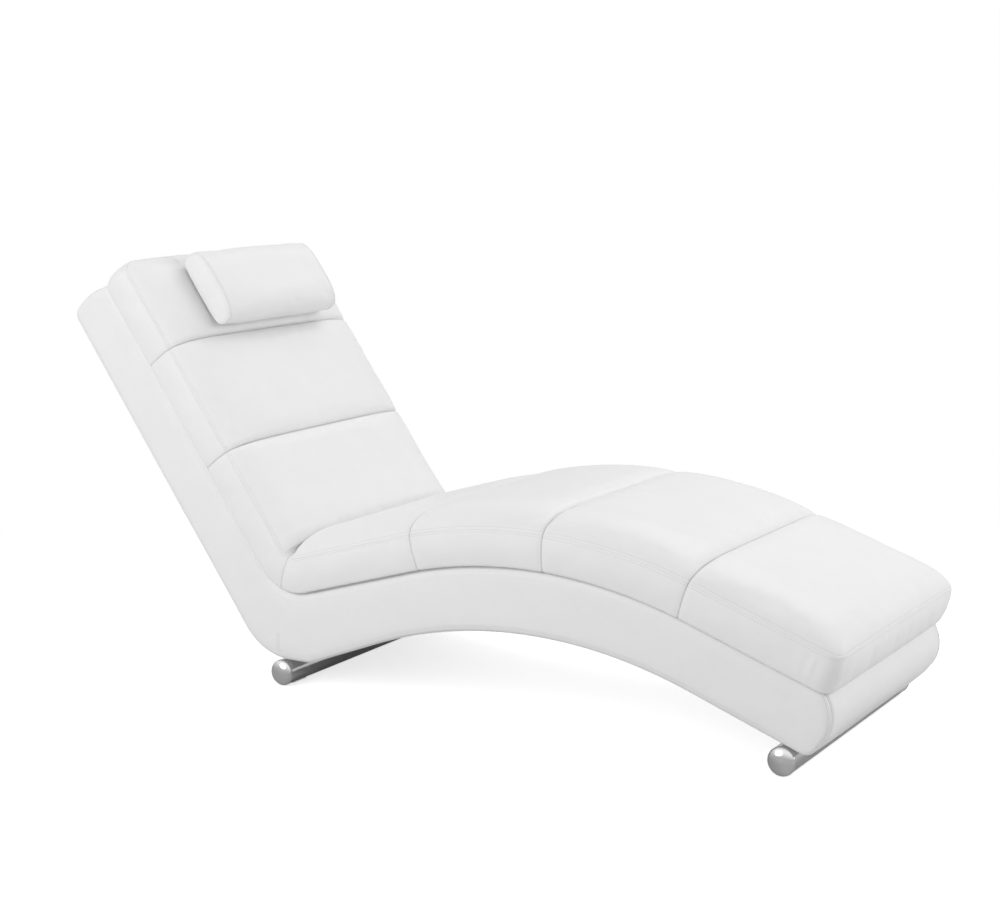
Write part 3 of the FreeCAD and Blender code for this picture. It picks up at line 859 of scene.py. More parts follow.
def thickened(piece: Object, name: str, thickness: float, offset: float) -> Object:
    """Give a sheet its thickness.

    Args:
        piece: The sheet.
        name: What the thickness is of.
        thickness: How thick it is.
        offset: 1 to thicken it outwards and -1 to thicken it inwards.

    Returns:
        The same sheet.
    """
    thick = piece.modifiers.new(name, "SOLIDIFY")
    thick.thickness, thick.offset = thickness, offset
    return piece


EDGE_WANDER = 0.8 * MM


def cut_edge(place: float, share: float) -> float:
    """How far a leather strip's edge strays from straight, which fades towards its middle."""
    stray = noise.noise(Vector((place, math.copysign(3, share), 0)))
    return stray * EDGE_WANDER * abs(share) ** 3


def add_bead(bm: BMesh, line: Sequence[Vector], surface: BVHTree, radius: float,
             closed: bool = False, sides: int = 6) -> None:
    """Sweep a thin round fold along a line on a surface.

    Args:
        bm: The bmesh that takes it.
        line: The points that it follows.
        surface: What it lies on.
        radius: Its radius.
        closed: Whether the line ends where it starts.
        sides: How many sides its section has.
    """
    points = list(line[:-1]) if closed else list(line)
    rings = []
    for i, point in enumerate(points):
        before = points[i - 1] if i or closed else point
        after = points[(i + 1) % len(points)] if i + 1 < len(points) or closed else point
        heading = (after - before).normalized()
        near, normal, _, _ = surface.find_nearest(point)
        across = normal.cross(heading).normalized()
        turn = Matrix((across, heading.cross(across) * -1, heading)).transposed().to_4x4()
        made = bmesh.ops.create_circle(
            bm, segments=sides, radius=radius, matrix=Matrix.Translation(near) @ turn)
        rings.append({e for v in made["verts"] for e in v.link_edges})
    pairs = list(zip(rings, rings[1:])) + ([(rings[-1], rings[0])] if closed else [])
    for a, b in pairs:
        bmesh.ops.bridge_loops(bm, edges=list(a | b))


def subdivided(piece: Object, levels: int = 1) -> None:
    """Finish a piece with a subdivision surface."""
    modifier = piece.modifiers.new("rounding", "SUBSURF")
    modifier.levels = modifier.render_levels = levels


def surface_of(piece: Object) -> BVHTree:
    """The finished surface of a piece, modifiers included, to lay threads on."""
    bpy.context.view_layer.update()
    return BVHTree.FromObject(piece, bpy.context.evaluated_depsgraph_get())


def along(points: Sequence[Vector], pitch: float) -> list[tuple[Vector, Vector]]:
    """Evenly spaced spots on a line of points.

    Args:
        points: The line.
        pitch: How far apart the spots are. The first lies half of it from the start.

    Returns:
        Each spot with the line's direction there.
    """
    spots, walked, wanted = [], 0.0, pitch / 2
    for a, b in zip(points, points[1:]):
        run = (b - a).length
        while run > SPECK and wanted <= walked + run:
            spots.append((a.lerp(b, (wanted - walked) / run), (b - a).normalized()))
            wanted += pitch
        walked += run
    return spots


@dataclass
class Thread:
    """A row of stitches: one low bead for each, laid on a surface."""

    length: float = 4.0 * MM
    pitch: float = 5.6 * MM
    width: float = 1.0 * MM
    flatness: float = 2.4

    def lay(self, bm: BMesh, line: Sequence[Vector], surface: BVHTree) -> None:
        """Add a row of stitches along a line.

        Args:
            bm: The bmesh that takes the beads.
            line: Points near the surface.
            surface: What the stitches lie on.
        """
        for spot, heading in along(line, self.pitch):
            near, normal, _, _ = surface.find_nearest(spot)
            if near is None:
                continue
            side = normal.cross(heading).normalized()
            turn = Matrix((heading, side, normal)).transposed().to_4x4()
            size = Matrix.Diagonal(
                (self.length / 2, self.width / 2, self.width / self.flatness, 1.0))
            bmesh.ops.create_icosphere(
                bm, subdivisions=1, radius=1.0, matrix=Matrix.Translation(near) @ turn @ size)


@dataclass
class Sewing:
    """The beads and the stitches of one place, gathered and then made into two pieces."""

    finishes: Finishes
    thread: Thread = field(default_factory=Thread)
    beads: BMesh = field(default_factory=bmesh.new)
    stitches: BMesh = field(default_factory=bmesh.new)

    def row(self, line: Sequence[Vector], surface: BVHTree) -> None:
        """Lay a row of stitches along a line on a surface."""
        self.thread.lay(self.stitches, line, surface)

    def finish(self, body: str, beads: Optional[str], stitches: str) -> None:
        """Make the pieces.

        Args:
            body: The body that they ride on.
            beads: The name of the beads' piece, where there are beads.
            stitches: The name of the stitches' piece.
        """
        if beads:
            settle(finished(self.beads, beads, self.finishes.leather), body, "leather")
        settle(finished(self.stitches, stitches, self.finishes.thread), body, "leather")


CLOTH = {
    "quality": 5, "mass": 0.4, "tension_stiffness": 18, "compression_stiffness": 18,
    "shear_stiffness": 12, "bending_stiffness": 1.2, "tension_damping": 12,
    "compression_damping": 12, "vertex_group_mass": "sewn", "use_pressure": True,
}


@dataclass
class Padding:
    """Cloth blown up from inside for a few frames: the padding that fills a sewn cover."""

    pressure: float = 3.0
    slack: float = -0.02
    frames: int = 20
    waiting: list[tuple[Object, list[Vector], float]] = field(default_factory=list)

    def add(self, piece: Object, held: Iterable[int], travel: float) -> None:
        """Get a piece ready to be filled.

        Args:
            piece: The closed cover, still as it is cut.
            held: The vertices that its seams hold in place.
            travel: What the way of a point is eased towards, so that none goes further.
        """
        group = piece.vertex_groups.new(name="sewn")
        group.add(list(held), 1.0, "REPLACE")
        cloth = piece.modifiers.new("filling", "CLOTH")
        settings = cloth.settings
        for name, value in CLOTH.items():
            setattr(settings, name, value)
        settings.shrink_min = self.slack
        settings.uniform_pressure_force = self.pressure
        settings.effector_weights.gravity = 0
        cloth.collision_settings.use_collision = False
        self.waiting.append((piece, [v.co.copy() for v in piece.data.vertices], travel))

    @staticmethod
    def evened(piece: Object, steps: list[Vector], passes: int = 2) -> list[Vector]:
        """Average each free point's step with its neighbours' steps.

        Args:
            piece: The cover whose edges tell the neighbours.
            steps: How far each of its points has moved.
            passes: How many times the steps are averaged.

        Returns:
            The evened steps.
        """
        near: list[list[int]] = [[] for _ in steps]
        for edge in piece.data.edges:
            a, b = edge.vertices
            near[a].append(b)
            near[b].append(a)
        for _ in range(passes):
            steps = [
                step if step.length < TINY
                else (step + sum((steps[n] for n in others), Vector())) / (len(others) + 1)
                for step, others in zip(steps, near)
            ]
        return steps

    def fill(self) -> None:
        """Run all the waiting pieces together and keep what the cloth did, evened and eased."""
        scene = bpy.context.scene
        for number in range(1, self.frames + 1):
            scene.frame_set(number)
        graph = bpy.context.evaluated_depsgraph_get()
        for piece, before, travel in self.waiting:
            blown = [v.co.copy() for v in piece.evaluated_get(graph).data.vertices]
            steps = self.evened(piece, [new - old for new, old in zip(blown, before)])
            for vert, old, step in zip(piece.data.vertices, before, steps):
                vert.co = old + step * (travel / (travel + step.length))
            piece.modifiers.clear()
            piece.vertex_groups.clear()
        self.waiting.clear()
        scene.frame_set(1)


# The mat


@dataclass(frozen=True)
class Fall:
    """How a crown comes down to a seam."""

    rise: float  # what is left of it over the welts at the seam
    reach: float  # how far from the seam it is nearly full
    steep: float  # the share that it gains within the reach
    broad: float  # the share that it gains slowly


FALLS = {
    SeamKind.PLAIN: Fall(0.030, 0.014, 0.72, 0.28),
    SeamKind.CREASE: Fall(0.008, 0.080, 0.93, 0.07),
    SeamKind.EDGE: Fall(0.004, 0.056, 0.90, 0.10),
}
BROAD_REACH = 0.12
CREASE_POWER = 1.5


@dataclass(frozen=True)
class Seam:
    """A seam across the mat, or one of its two ends."""

    place: float
    kind: SeamKind

    def rise(self) -> float:
        """How high the crown stands over the welts at the seam."""
        return FALLS[self.kind].rise

    def share(self, run: float) -> float:
        """How full the crown is near the seam.

        Args:
            run: The distance from the seam.

        Returns:
            The share, from 0 to 1.
        """
        fall = FALLS[self.kind]
        if self.kind is SeamKind.CREASE:
            near = clamp(run / fall.reach) ** CREASE_POWER
        else:
            near = rounded(run / fall.reach)
        return fall.steep * near + fall.broad * (1 - (1 - clamp(run / BROAD_REACH)) ** 2)


LINING_DROP = 1.5 * MM
STRIP_EDGE = 0.197
STRIP_FALL = 0.025


def past_strips(y: float) -> float:
    """From 0 over the grip strips to 1 where the mat lies straight on the deck."""
    return clamp((abs(y) - STRIP_EDGE) / STRIP_FALL)


@dataclass
class Mat:
    """The padded mat: seven crowned panels sewn along the deck, with welts and stitches."""

    finishes: Finishes
    half_width: float = STANCE.half_mat
    bottom: float = 3.5 * MM
    edge_bottom: float = 0.8 * MM
    welt_height: float = 70 * MM
    crown: float = 41 * MM
    crown_powers: Pair = (12.0, 5.0)  # how square the crown is across: at the crease, elsewhere
    crown_round: float = 0.55
    crease_reach: float = 90 * MM
    ceiling: float = 111 * MM
    gap: float = 0.15 * MM
    foot_inset: float = 3 * MM
    gusset_puff: float = 4 * MM
    gusset_rows: int = 9
    end_puff: float = 9 * MM
    draw_in: float = 2 * MM
    corner: float = 24 * MM
    welt: float = 1.2 * MM
    cell: float = 7 * MM
    travel: float = 5 * MM
    fill: float = 0.8
    flat_joint: Pair = (1.1, 0.3)  # up to where a gusset's joint is creased, and how it fades
    fold: float = 2.0 * MM
    fold_waves: float = 330
    fold_lean: float = 0.6
    fold_middle: float = 45 * MM
    fold_reach: float = 30 * MM
    stitch_away: float = 5 * MM
    stitch_drop: float = 4 * MM
    ends_past_deck: Pair = (-0.007, 0.012)
    back_panels: Pair = (0.202, 0.237)
    seat_panels: Triple = (0.338, 0.269, 0.540)  # the seat's length, then the others' ends past it
    names: tuple[str, ...] = ("head", "shoulder", "lumbar", "seat", "thigh", "knee", "foot")
    panels: dict[str, Object] = field(default_factory=dict)
    welts: dict[tuple[str, Side], list[int]] = field(default_factory=dict)
    ends: dict[str, list[int]] = field(default_factory=dict)

    def seams(self) -> list[Seam]:
        """Place the seams.

        Returns:
            The mat's head end, the six seams between the panels and its foot end.
        """
        crease = DECK.corners[Corner.CREASE].middle
        head, foot = self.ends_past_deck[0], DECK.length + self.ends_past_deck[1]
        top = head + self.back_panels[0]
        seat = crease + self.seat_panels[0]
        back = [Seam(top, SeamKind.PLAIN), Seam(top + self.back_panels[1], SeamKind.PLAIN)]
        legs = [Seam(seat + run, SeamKind.PLAIN) for run in (0.0, *self.seat_panels[1:])]
        return [Seam(head, SeamKind.EDGE), *back, Seam(crease, SeamKind.CREASE), *legs,
                Seam(foot, SeamKind.EDGE)]

    def flat_point(self, first: Seam, last: Seam, cube: Vector) -> Vector:
        """Where a point of the divided unit box lies in the flat, unbent panel.

        Args:
            first: The seam at the panel's head end.
            last: The seam at its foot end.
            cube: The point in the unit box: along, across and up.

        Returns:
            Place along the deck, across the width and height over the deck.
        """
        start, end = first.place + self.gap, last.place - self.gap
        across = 2 * cube.y - 1
        s = mix(start, end, cube.x)
        full = first.share(s - first.place) + last.share(last.place - s) - 1
        rise = self.crown - (self.crown - first.rise()) * (1 - first.share(s - first.place))
        rise -= (self.crown - last.rise()) * (1 - last.share(last.place - s))
        creases = [abs(s - seam.place) for seam in (first, last) if seam.kind is SeamKind.CREASE]
        power = mix(*self.crown_powers, clamp(min(creases, default=1.0) / self.crease_reach))
        crowned = (1 - abs(across) ** power) ** self.crown_round
        welt = self.half_width - (1 - clamp(full)) * self.draw_in
        side = mix(welt - self.foot_inset, welt, cube.z)
        side += self.gusset_puff * 4 * cube.z * (1 - cube.z)
        y = across * side
        ends_here = SeamKind.EDGE in (first.kind, last.kind)
        outer = at_high(abs(across)) or at_end(cube.x) and ends_here
        bottom = self.edge_bottom if outer else self.bottom - LINING_DROP * past_strips(y)
        height = mix(bottom, self.welt_height + rise * crowned, cube.z)
        puffed = 4 * cube.z * (1 - cube.z)
        if last.kind is SeamKind.EDGE and at_high(abs(across)):
            run = last.place - s
            wave = math.sin(run * self.fold_waves + self.fold_lean * cube.z)
            near = clamp(1 - abs(run - self.fold_middle) / self.fold_reach)
            y += across * self.fold * puffed * wave * near
        for seam, away, there in ((first, -1, at_low(cube.x)), (last, 1, at_high(cube.x))):
            if seam.kind is not SeamKind.EDGE:
                continue
            if there:
                s += away * self.end_puff * (puffed ** 0.8 * (1 - abs(across) ** 6))
            inner_s, inner_y = seam.place - away * self.corner, side - self.corner
            ds, dy = (s - inner_s) * away / self.corner, (abs(y) - inner_y) / self.corner
            if ds > 0 and dy > 0:
                turn = max(ds, dy) / math.hypot(ds, dy)
                s = inner_s + away * ds * turn * self.corner
                y = math.copysign(inner_y + dy * turn * self.corner, across)
        return Vector((s, y, height))

    def build(self, padding: Padding) -> None:
        """Cut the seven panels flat and hand them to the padding.

        Args:
            padding: What fills them.
        """
        seams = self.seams()
        for name, first, last in zip(self.names, seams, seams[1:]):
            length = last.place - first.place
            across = round(2 * self.half_width / self.cell)
            bm = divided_box((round(length / self.cell), across, self.gusset_rows))
            cubes = [v.co.copy() for v in bm.verts]
            self.keep_flat(bm, first, last)
            shaped(bm, lambda co: self.flat_point(first, last, co))
            self.panels[name] = finished(bm, "mat_" + name, self.finishes.leather)
            held = self.sewn_points(name, cubes, first, last)
            padding.add(self.panels[name], held, self.travel)

    def sewn_points(self, name: str, cubes: Sequence[Vector], first: Seam, last: Seam) -> set[int]:
        """Find where a panel is sewn, and keep its welts and its open end's edge in order.

        Args:
            name: The panel's name.
            cubes: Its points in the unit box.
            first: The seam at its head end.
            last: The seam at its foot end.

        Returns:
            The points that its seams hold while it is filled.
        """
        at_ends = {i for i, c in enumerate(cubes) if at_end(c.x)}
        at_welt = {i for i, c in enumerate(cubes) if at_high(c.z) and at_end(c.y)}
        held = {i for i, c in enumerate(cubes) if at_low(c.z)} | at_ends | at_welt
        for seam, limit in ((first, 0.0), (last, 1.0)):
            if seam.kind is SeamKind.EDGE:
                face = [i for i in at_ends if abs(cubes[i].x - limit) < TINY]
                held -= {i for i in face if not at_end(cubes[i].z)}
                line = [i for i in face if at_high(cubes[i].z)]
                self.ends[name] = sorted(line, key=lambda i: cubes[i].y)
        for side in Side:
            edge = [i for i in at_welt if (cubes[i].y > 0.5) == (side is Side.LEFT)]
            self.welts[name, side] = sorted(edge, key=lambda i: cubes[i].x)
        return held

    def keep_flat(self, bm: BMesh, first: Seam, last: Seam) -> None:
        """Crease the gusset's upright joints, which are sewn flat, and leave the channels round.

        Args:
            bm: The panel, still as a unit box.
            first: The seam at its head end.
            last: The seam at its foot end.
        """
        crease, (top, fade) = bm.edges.layers.float.new("crease_edge"), self.flat_joint
        for edge in bm.edges:
            a, b = (vert.co for vert in edge.verts)
            if abs(a.z - b.z) < TINY or not at_end(a.y):
                continue
            for seam, limit in ((first, 0.0), (last, 1.0)):
                if abs(a.x - limit) < TINY and seam.kind is not SeamKind.EDGE:
                    edge[crease] = clamp((top - max(a.z, b.z)) / fade)

    def wrap(self) -> None:
        """Bend the filled panels along the deck and dress them."""
        for name, piece in self.panels.items():
            for vert in piece.data.vertices:
                s, y, h = vert.co
                vert.co = DECK.place(s, y, min(h, self.ceiling))
            subdivided(piece)
            settle(piece, "lounger", "leather", "mat_panel_" + name)
            LOG.info("mat panel %s", name)
        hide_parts("back_foam_core")
        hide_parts("seat_foam_core")

    def edge_line(self, name: str, indices: Sequence[int]) -> list[Vector]:
        """The points of a panel's sewn edge, in order."""
        return [self.panels[name].data.vertices[i].co.copy() for i in indices]

    def stitch(self) -> None:
        """Sew the welts: a raised fold round the mat with a row of stitches on each side."""
        sewing = Sewing(self.finishes)
        under = Vector((0, 0, -self.stitch_away))
        for name, piece in self.panels.items():
            surface = surface_of(piece)
            rows = []
            for side in Side:
                over = Vector((0, -side.value * self.stitch_away, self.stitch_drop))
                rows.append((self.edge_line(name, self.welts[name, side]), over))
            if name in self.ends:
                far = 1.0 if name == self.names[-1] else -1.0
                ahead = DECK.place(far, 0, 0) - DECK.place(0.0, 0, 0)
                over = ahead.normalized() * -self.stitch_away
                rows.append((self.edge_line(name, self.ends[name]), over))
            for line, over in rows:
                add_bead(sewing.beads, line, surface, self.welt)
                for shift in (under, over):
                    sewing.row([p + shift for p in line], surface)
        sewing.finish("lounger", "mat_welt", "mat_stitches")


# The body


@dataclass(frozen=True)
class Fold:
    """A low ridge in the leather of a side, from one side-view point to another."""

    start: Point
    end: Point
    height: float
    width: float = 7 * MM


WELD = 0.05 * MM
FOLDS = (
    Fold((0.7315, 0.1622), (0.7876, 0.1394), 1.3 * MM),
    Fold((0.7583, 0.1158), (0.7812, 0.0742), 1.0 * MM, 9 * MM),
    Fold((0.7037, 0.1283), (0.7692, 0.1106), 0.9 * MM, 9 * MM),
    Fold((-0.3740, 0.0862), (-0.2811, 0.0828), 0.9 * MM, 10 * MM),
)
HEEL_SEAM = ((-0.3373, 0.0689), (-0.3368, 0.1075))
FOLD_ENDS = (0.06, 0.94)  # the shares of a fold that its ends keep to
FAR_FOLDS = 0.7  # how high the far side's folds are against the near side's


@dataclass
class BodyCover:
    """The leather over the body: two sides with a soft rim, and the band in five lengths."""

    finishes: Finishes
    half: float = STANCE.half_body
    rim: float = 9 * MM
    step: float = 14 * MM
    side_crown: float = 2.5 * MM
    band_crown: float = 1.2 * MM
    shell: float = 8 * MM
    band_columns: int = 28
    columns: int = 300
    rows: int = 26
    rim_steps: int = 6
    flat_rise: Pair = (14, 3.5)  # how soon the crown is full, along and up a side
    seam: float = 0.9 * MM
    seam_step: float = 12 * MM
    seam_share: float = 0.6  # where the seam lies on the rim
    stitch_away: float = 4 * MM
    stitch_drop: float = 1 * MM
    heel_parts: int = 8
    fill: float = 0.95
    pieces: dict[str, Object] = field(default_factory=dict)

    def stretches(self) -> dict[str, Pair]:
        """Part the band into its lengths.

        Returns:
            Each length's two places on the outline, from one corner's middle to the next.
        """
        foot, toe, heel, top, head = (
            BODY.corners[corner].middle for corner in (
                Corner.DECK_FOOT, Corner.TOE, Corner.HEEL, Corner.BACK_HEAD, Corner.DECK_HEAD))
        return {"deck": (head, foot + BODY.length), "nose": (foot, toe), "arch": (toe, heel),
                "back": (heel, top), "head": (top, head)}

    def build_band(self, name: str, start: float, end: float) -> Object:
        """One length of the band across the body.

        Args:
            name: The stretch's name.
            start: Its first place on the outline.
            end: Its last place.

        Returns:
            The piece.
        """
        reach = self.half - self.rim
        crown = self.band_crown if name in ("nose", "arch") else 0.0
        bm = laid_sheet(BODY, BODY.around(start, end, self.step), self.band_columns,
                        lambda _, share: (share * reach, crown * (1 - share ** 6)))
        piece = finished(bm, name + "_leather", self.finishes.leather, outward=False)
        return thickened(piece, "wadding", self.shell, -1.0)

    def side_places(self) -> tuple[list[float], list[float], list[float], list[float]]:
        """Find the places on the outline that the edges of a side's sheet follow.

        Returns:
            Those along the deck, along the under side, up the head and up the nose.
        """
        deck_start, crease, deck_end, top, heel, toe, foot = (
            BODY.corners[corner].middle for corner in (
                Corner.DECK_HEAD, Corner.CREASE, Corner.DECK_FOOT, Corner.BACK_HEAD, Corner.HEEL,
                Corner.TOE, Corner.DECK_FOOT))
        crease, deck_end = crease + BODY.length, deck_end + BODY.length
        split = (crease - deck_start) / (deck_end - deck_start)

        def matched(first: float, middle: float, last: float) -> list[float]:
            """Spread places so that they pass the middle where the deck passes its crease.

            Args:
                first: The first place.
                middle: The one at the crease.
                last: The last one.

            Returns:
                The places.
            """
            shares = [i / self.columns for i in range(self.columns + 1)]
            return [mix(first, middle, share / split) if share < split
                    else mix(middle, last, (share - split) / (1 - split)) for share in shares]

        ups = [j / self.rows for j in range(self.rows + 1)]
        head = [mix(top, deck_start, share) for share in ups]
        nose = [mix(toe, foot, share) for share in ups]
        return matched(deck_start, crease, deck_end), matched(top, heel, toe), head, nose

    def build_side(self, side: Side) -> Object:
        """One side of the body: a softly crowned flat inside a quarter-round rim.

        Args:
            side: Which side.

        Returns:
            The piece.
        """
        deck, under, head, nose = self.side_places()
        top, low, start, end = (
            [BODY.at(place, -self.rim) for place in places] for places in (deck, under, head, nose))

        def flat(co: Vector) -> Vector:
            """Lay a point of the unit sheet between the four edges of the side's flat.

            Args:
                co: The point.

            Returns:
                Where it lies.
            """
            u, v = co.x, co.y
            i, j = round(u * self.columns), round(v * self.rows)
            spot = []
            for k in range(2):
                ruled = mix(low[i][k], top[i][k], v) + mix(start[j][k], end[j][k], u)
                corners = mix(mix(low[0][k], top[0][k], v), mix(low[-1][k], top[-1][k], v), u)
                spot.append(ruled - corners)
            along_rise, up_rise = self.flat_rise
            full = rounded(min(v, 1 - v) * up_rise) * rounded(min(u, 1 - u) * along_rise)
            out = self.half + self.side_crown * full + self.fold_at(spot[0], spot[1], side) * full
            return Vector((spot[0], side.value * out, spot[1]))

        bm = shaped(divided_sheet(self.columns, self.rows), flat)
        loop = [place - BODY.length for place in deck] + nose[-2:0:-1] + under[::-1] + head[1:]
        last = len(loop) - 1

        def rim(co: Vector) -> Vector:
            """Lay a point of the unit sheet on the quarter-round rim.

            Args:
                co: The point.

            Returns:
                Where it lies.
            """
            turn = co.y * math.pi / 2
            y = self.half - self.rim * (1 - math.cos(turn))
            drop = -self.rim * (1 - math.sin(turn))
            return BODY.place(loop[round(co.x * last)], side.value * y, drop)

        pour(shaped(divided_sheet(last, self.rim_steps), rim), bm)
        bmesh.ops.remove_doubles(bm, verts=bm.verts, dist=WELD)
        bmesh.ops.recalc_face_normals(bm, faces=bm.faces)
        turned_towards(bm, lambda co: Vector((0, side.value, 0)), whole=True)
        name = f"side_leather_{side.name.lower()}"
        return finished(bm, name, self.finishes.leather, outward=False)

    def fold_at(self, x: float, z: float, side: Side) -> float:
        """How far a side's leather stands out in a fold, where it is pulled round the corners.

        Args:
            x: Place along the lounger.
            z: Height over the floor.
            side: Which side.

        Returns:
            The height of the fold there.
        """
        out = 0.0
        for fold in FOLDS:
            (ax, az), (bx, bz) = fold.start, fold.end
            run, length = Vector((bx - ax, bz - az)), math.dist(fold.start, fold.end)
            share = clamp(((x - ax) * run.x + (z - az) * run.y) / length ** 2)
            away = math.hypot(x - ax - run.x * share, z - az - run.y * share) / fold.width
            along_it = math.sin(math.pi * clamp(share, *FOLD_ENDS))
            out += fold.height * math.exp(-away * away) * along_it
        return out * (1.0 if side is Side.RIGHT else FAR_FOLDS)

    def build(self) -> None:
        """Make the sides and the band, set them on the body and sew them together."""
        made = {name: (self.build_band(name, *ends), name + "_cover", name + "_wadding")
                for name, ends in self.stretches().items()}
        for side in Side:
            word = side.name.lower()
            made[word] = (self.build_side(side), "side_cover_" + word, "side_wadding_" + word)
        for name, (piece, *nodes) in made.items():
            self.pieces[name] = piece
            settle(piece, "lounger", "leather", *nodes)
            LOG.info("body cover %s", piece.name)
        self.sew()

    def sew(self) -> None:
        """Sew the seam round each side, and the short seam over the rear foot."""
        sewing = Sewing(self.finishes)
        places = BODY.around(0.0, BODY.length, self.seam_step)
        shown = [place for place in places if place > BODY.corners[Corner.DECK_FOOT].middle]
        low, high = HEEL_SEAM
        for side in Side:
            surface = surface_of(self.pieces[side.name.lower()])
            edge = side.value * (self.half - self.rim * self.seam_share)
            add_bead(sewing.beads, [BODY.place(place, edge, 0.0) for place in places], surface,
                     self.seam, closed=True)
            beside_it = edge + side.value * self.stitch_away
            row = [BODY.place(place, beside_it, -self.stitch_drop) for place in shown]
            sewing.row(row, surface)
            shares = [k / self.heel_parts for k in range(self.heel_parts + 1)]
            line = [Vector((mix(low[0], high[0], share), side.value * self.half,
                            mix(low[1], high[1], share))) for share in shares]
            add_bead(sewing.beads, line, surface, self.seam)
            for shift in (-self.stitch_away, self.stitch_away):
                sewing.row([p + Vector((shift, 0, 0)) for p in line], surface)
        sewing.finish("lounger", "body_seams", "body_stitches")


# The headrest


@dataclass(frozen=True)
class PillowShape:
    """The neck pillow's sizes: its section is a squared oval, fuller at the front."""

    start: float = 27 * MM
    tall: float = 164 * MM
    length: float = 350 * MM
    thick: float = 60 * MM
    seat: float = 113.3 * MM
    front: float = 0.56
    back: float = 0.44
    front_power: float = 2.9
    back_power: float = 4.5
    end_length: float = 5 * MM
    end_fall: float = 0.11
    end_round: float = 2.5

    def point(self, cube: Vector) -> Vector:
        """Lay a point of the divided unit box on the pillow.

        Args:
            cube: The point: down the back, across the width and off the back.

        Returns:
            Place along the deck, across the width and height over the deck.
        """
        x, z = 2 * cube.x - 1, 2 * cube.z - 1
        across = 2 * cube.y - 1
        reach = max(abs(x), abs(z), SPECK)
        turn = math.atan2(z, x)
        power = self.front_power if z > 0 else self.back_power
        squared = abs(math.cos(turn)) ** power + abs(math.sin(turn)) ** power
        radius = reach * squared ** (-1 / power)
        full = 1 - self.end_fall * abs(across) ** 6
        half_tall = self.tall / 2 - (1 - full) * self.thick / 2
        front, back = self.thick * self.front * full, self.thick * self.back * full
        s = self.start + self.tall / 2 + half_tall * radius * math.cos(turn)
        h = radius * math.sin(turn) * (front if z > 0 else back)
        y = across * (self.length / 2 - self.end_length)
        if at_high(abs(across)):
            y += across * self.end_length * (1 - reach ** self.end_round)
        return Vector((s, y, self.seat + self.thick * self.back + h))


@dataclass(frozen=True)
class PouchShape:
    """The counterweight's sizes: a flat tail, and a pouch round the bar at its lower end."""

    tall: float = 70 * MM
    tail: float = 200 * MM
    axis: float = 11 * MM  # the bar's middle over the tail's outer face
    under: float = 10.8 * MM
    over: float = 12.6 * MM
    hem: float = 3.5 * MM
    seam: float = 24 * MM
    seam_share: float = 0.97
    seam_parts: int = 60
    face_fall: float = 0.10
    end_fall: float = 0.03
    deep_fall: float = 0.25
    wide_fall: float = 0.015

    def point(self, cube: Vector, low: float, half_width: float, face: float) -> Vector:
        """Lay a point of the divided unit box on the flat pouch.

        Args:
            cube: The point: up the back, across the width and off the back.
            low: The pouch's lower end along the outline.
            half_width: Half of its width.
            face: The height of the tail's outer face.

        Returns:
            Place along the outline, across the width and height over the outline.
        """
        x, y, z = 2 * cube.x - 1, 2 * cube.y - 1, 2 * cube.z - 1
        tall = 1 - self.face_fall * abs(z) ** 4 - self.end_fall * (1 - y * y)
        deep = (1 - self.deep_fall * abs(x) ** 5) * (1 - self.deep_fall * abs(y) ** 8)
        h = face + self.axis + (self.under * z if z < 0 else self.over * z * deep)
        half, wide = self.tall / 2, y * half_width * (1 - self.wide_fall * z ** 4)
        return Vector((low + half + half * x * tall, wide, h))


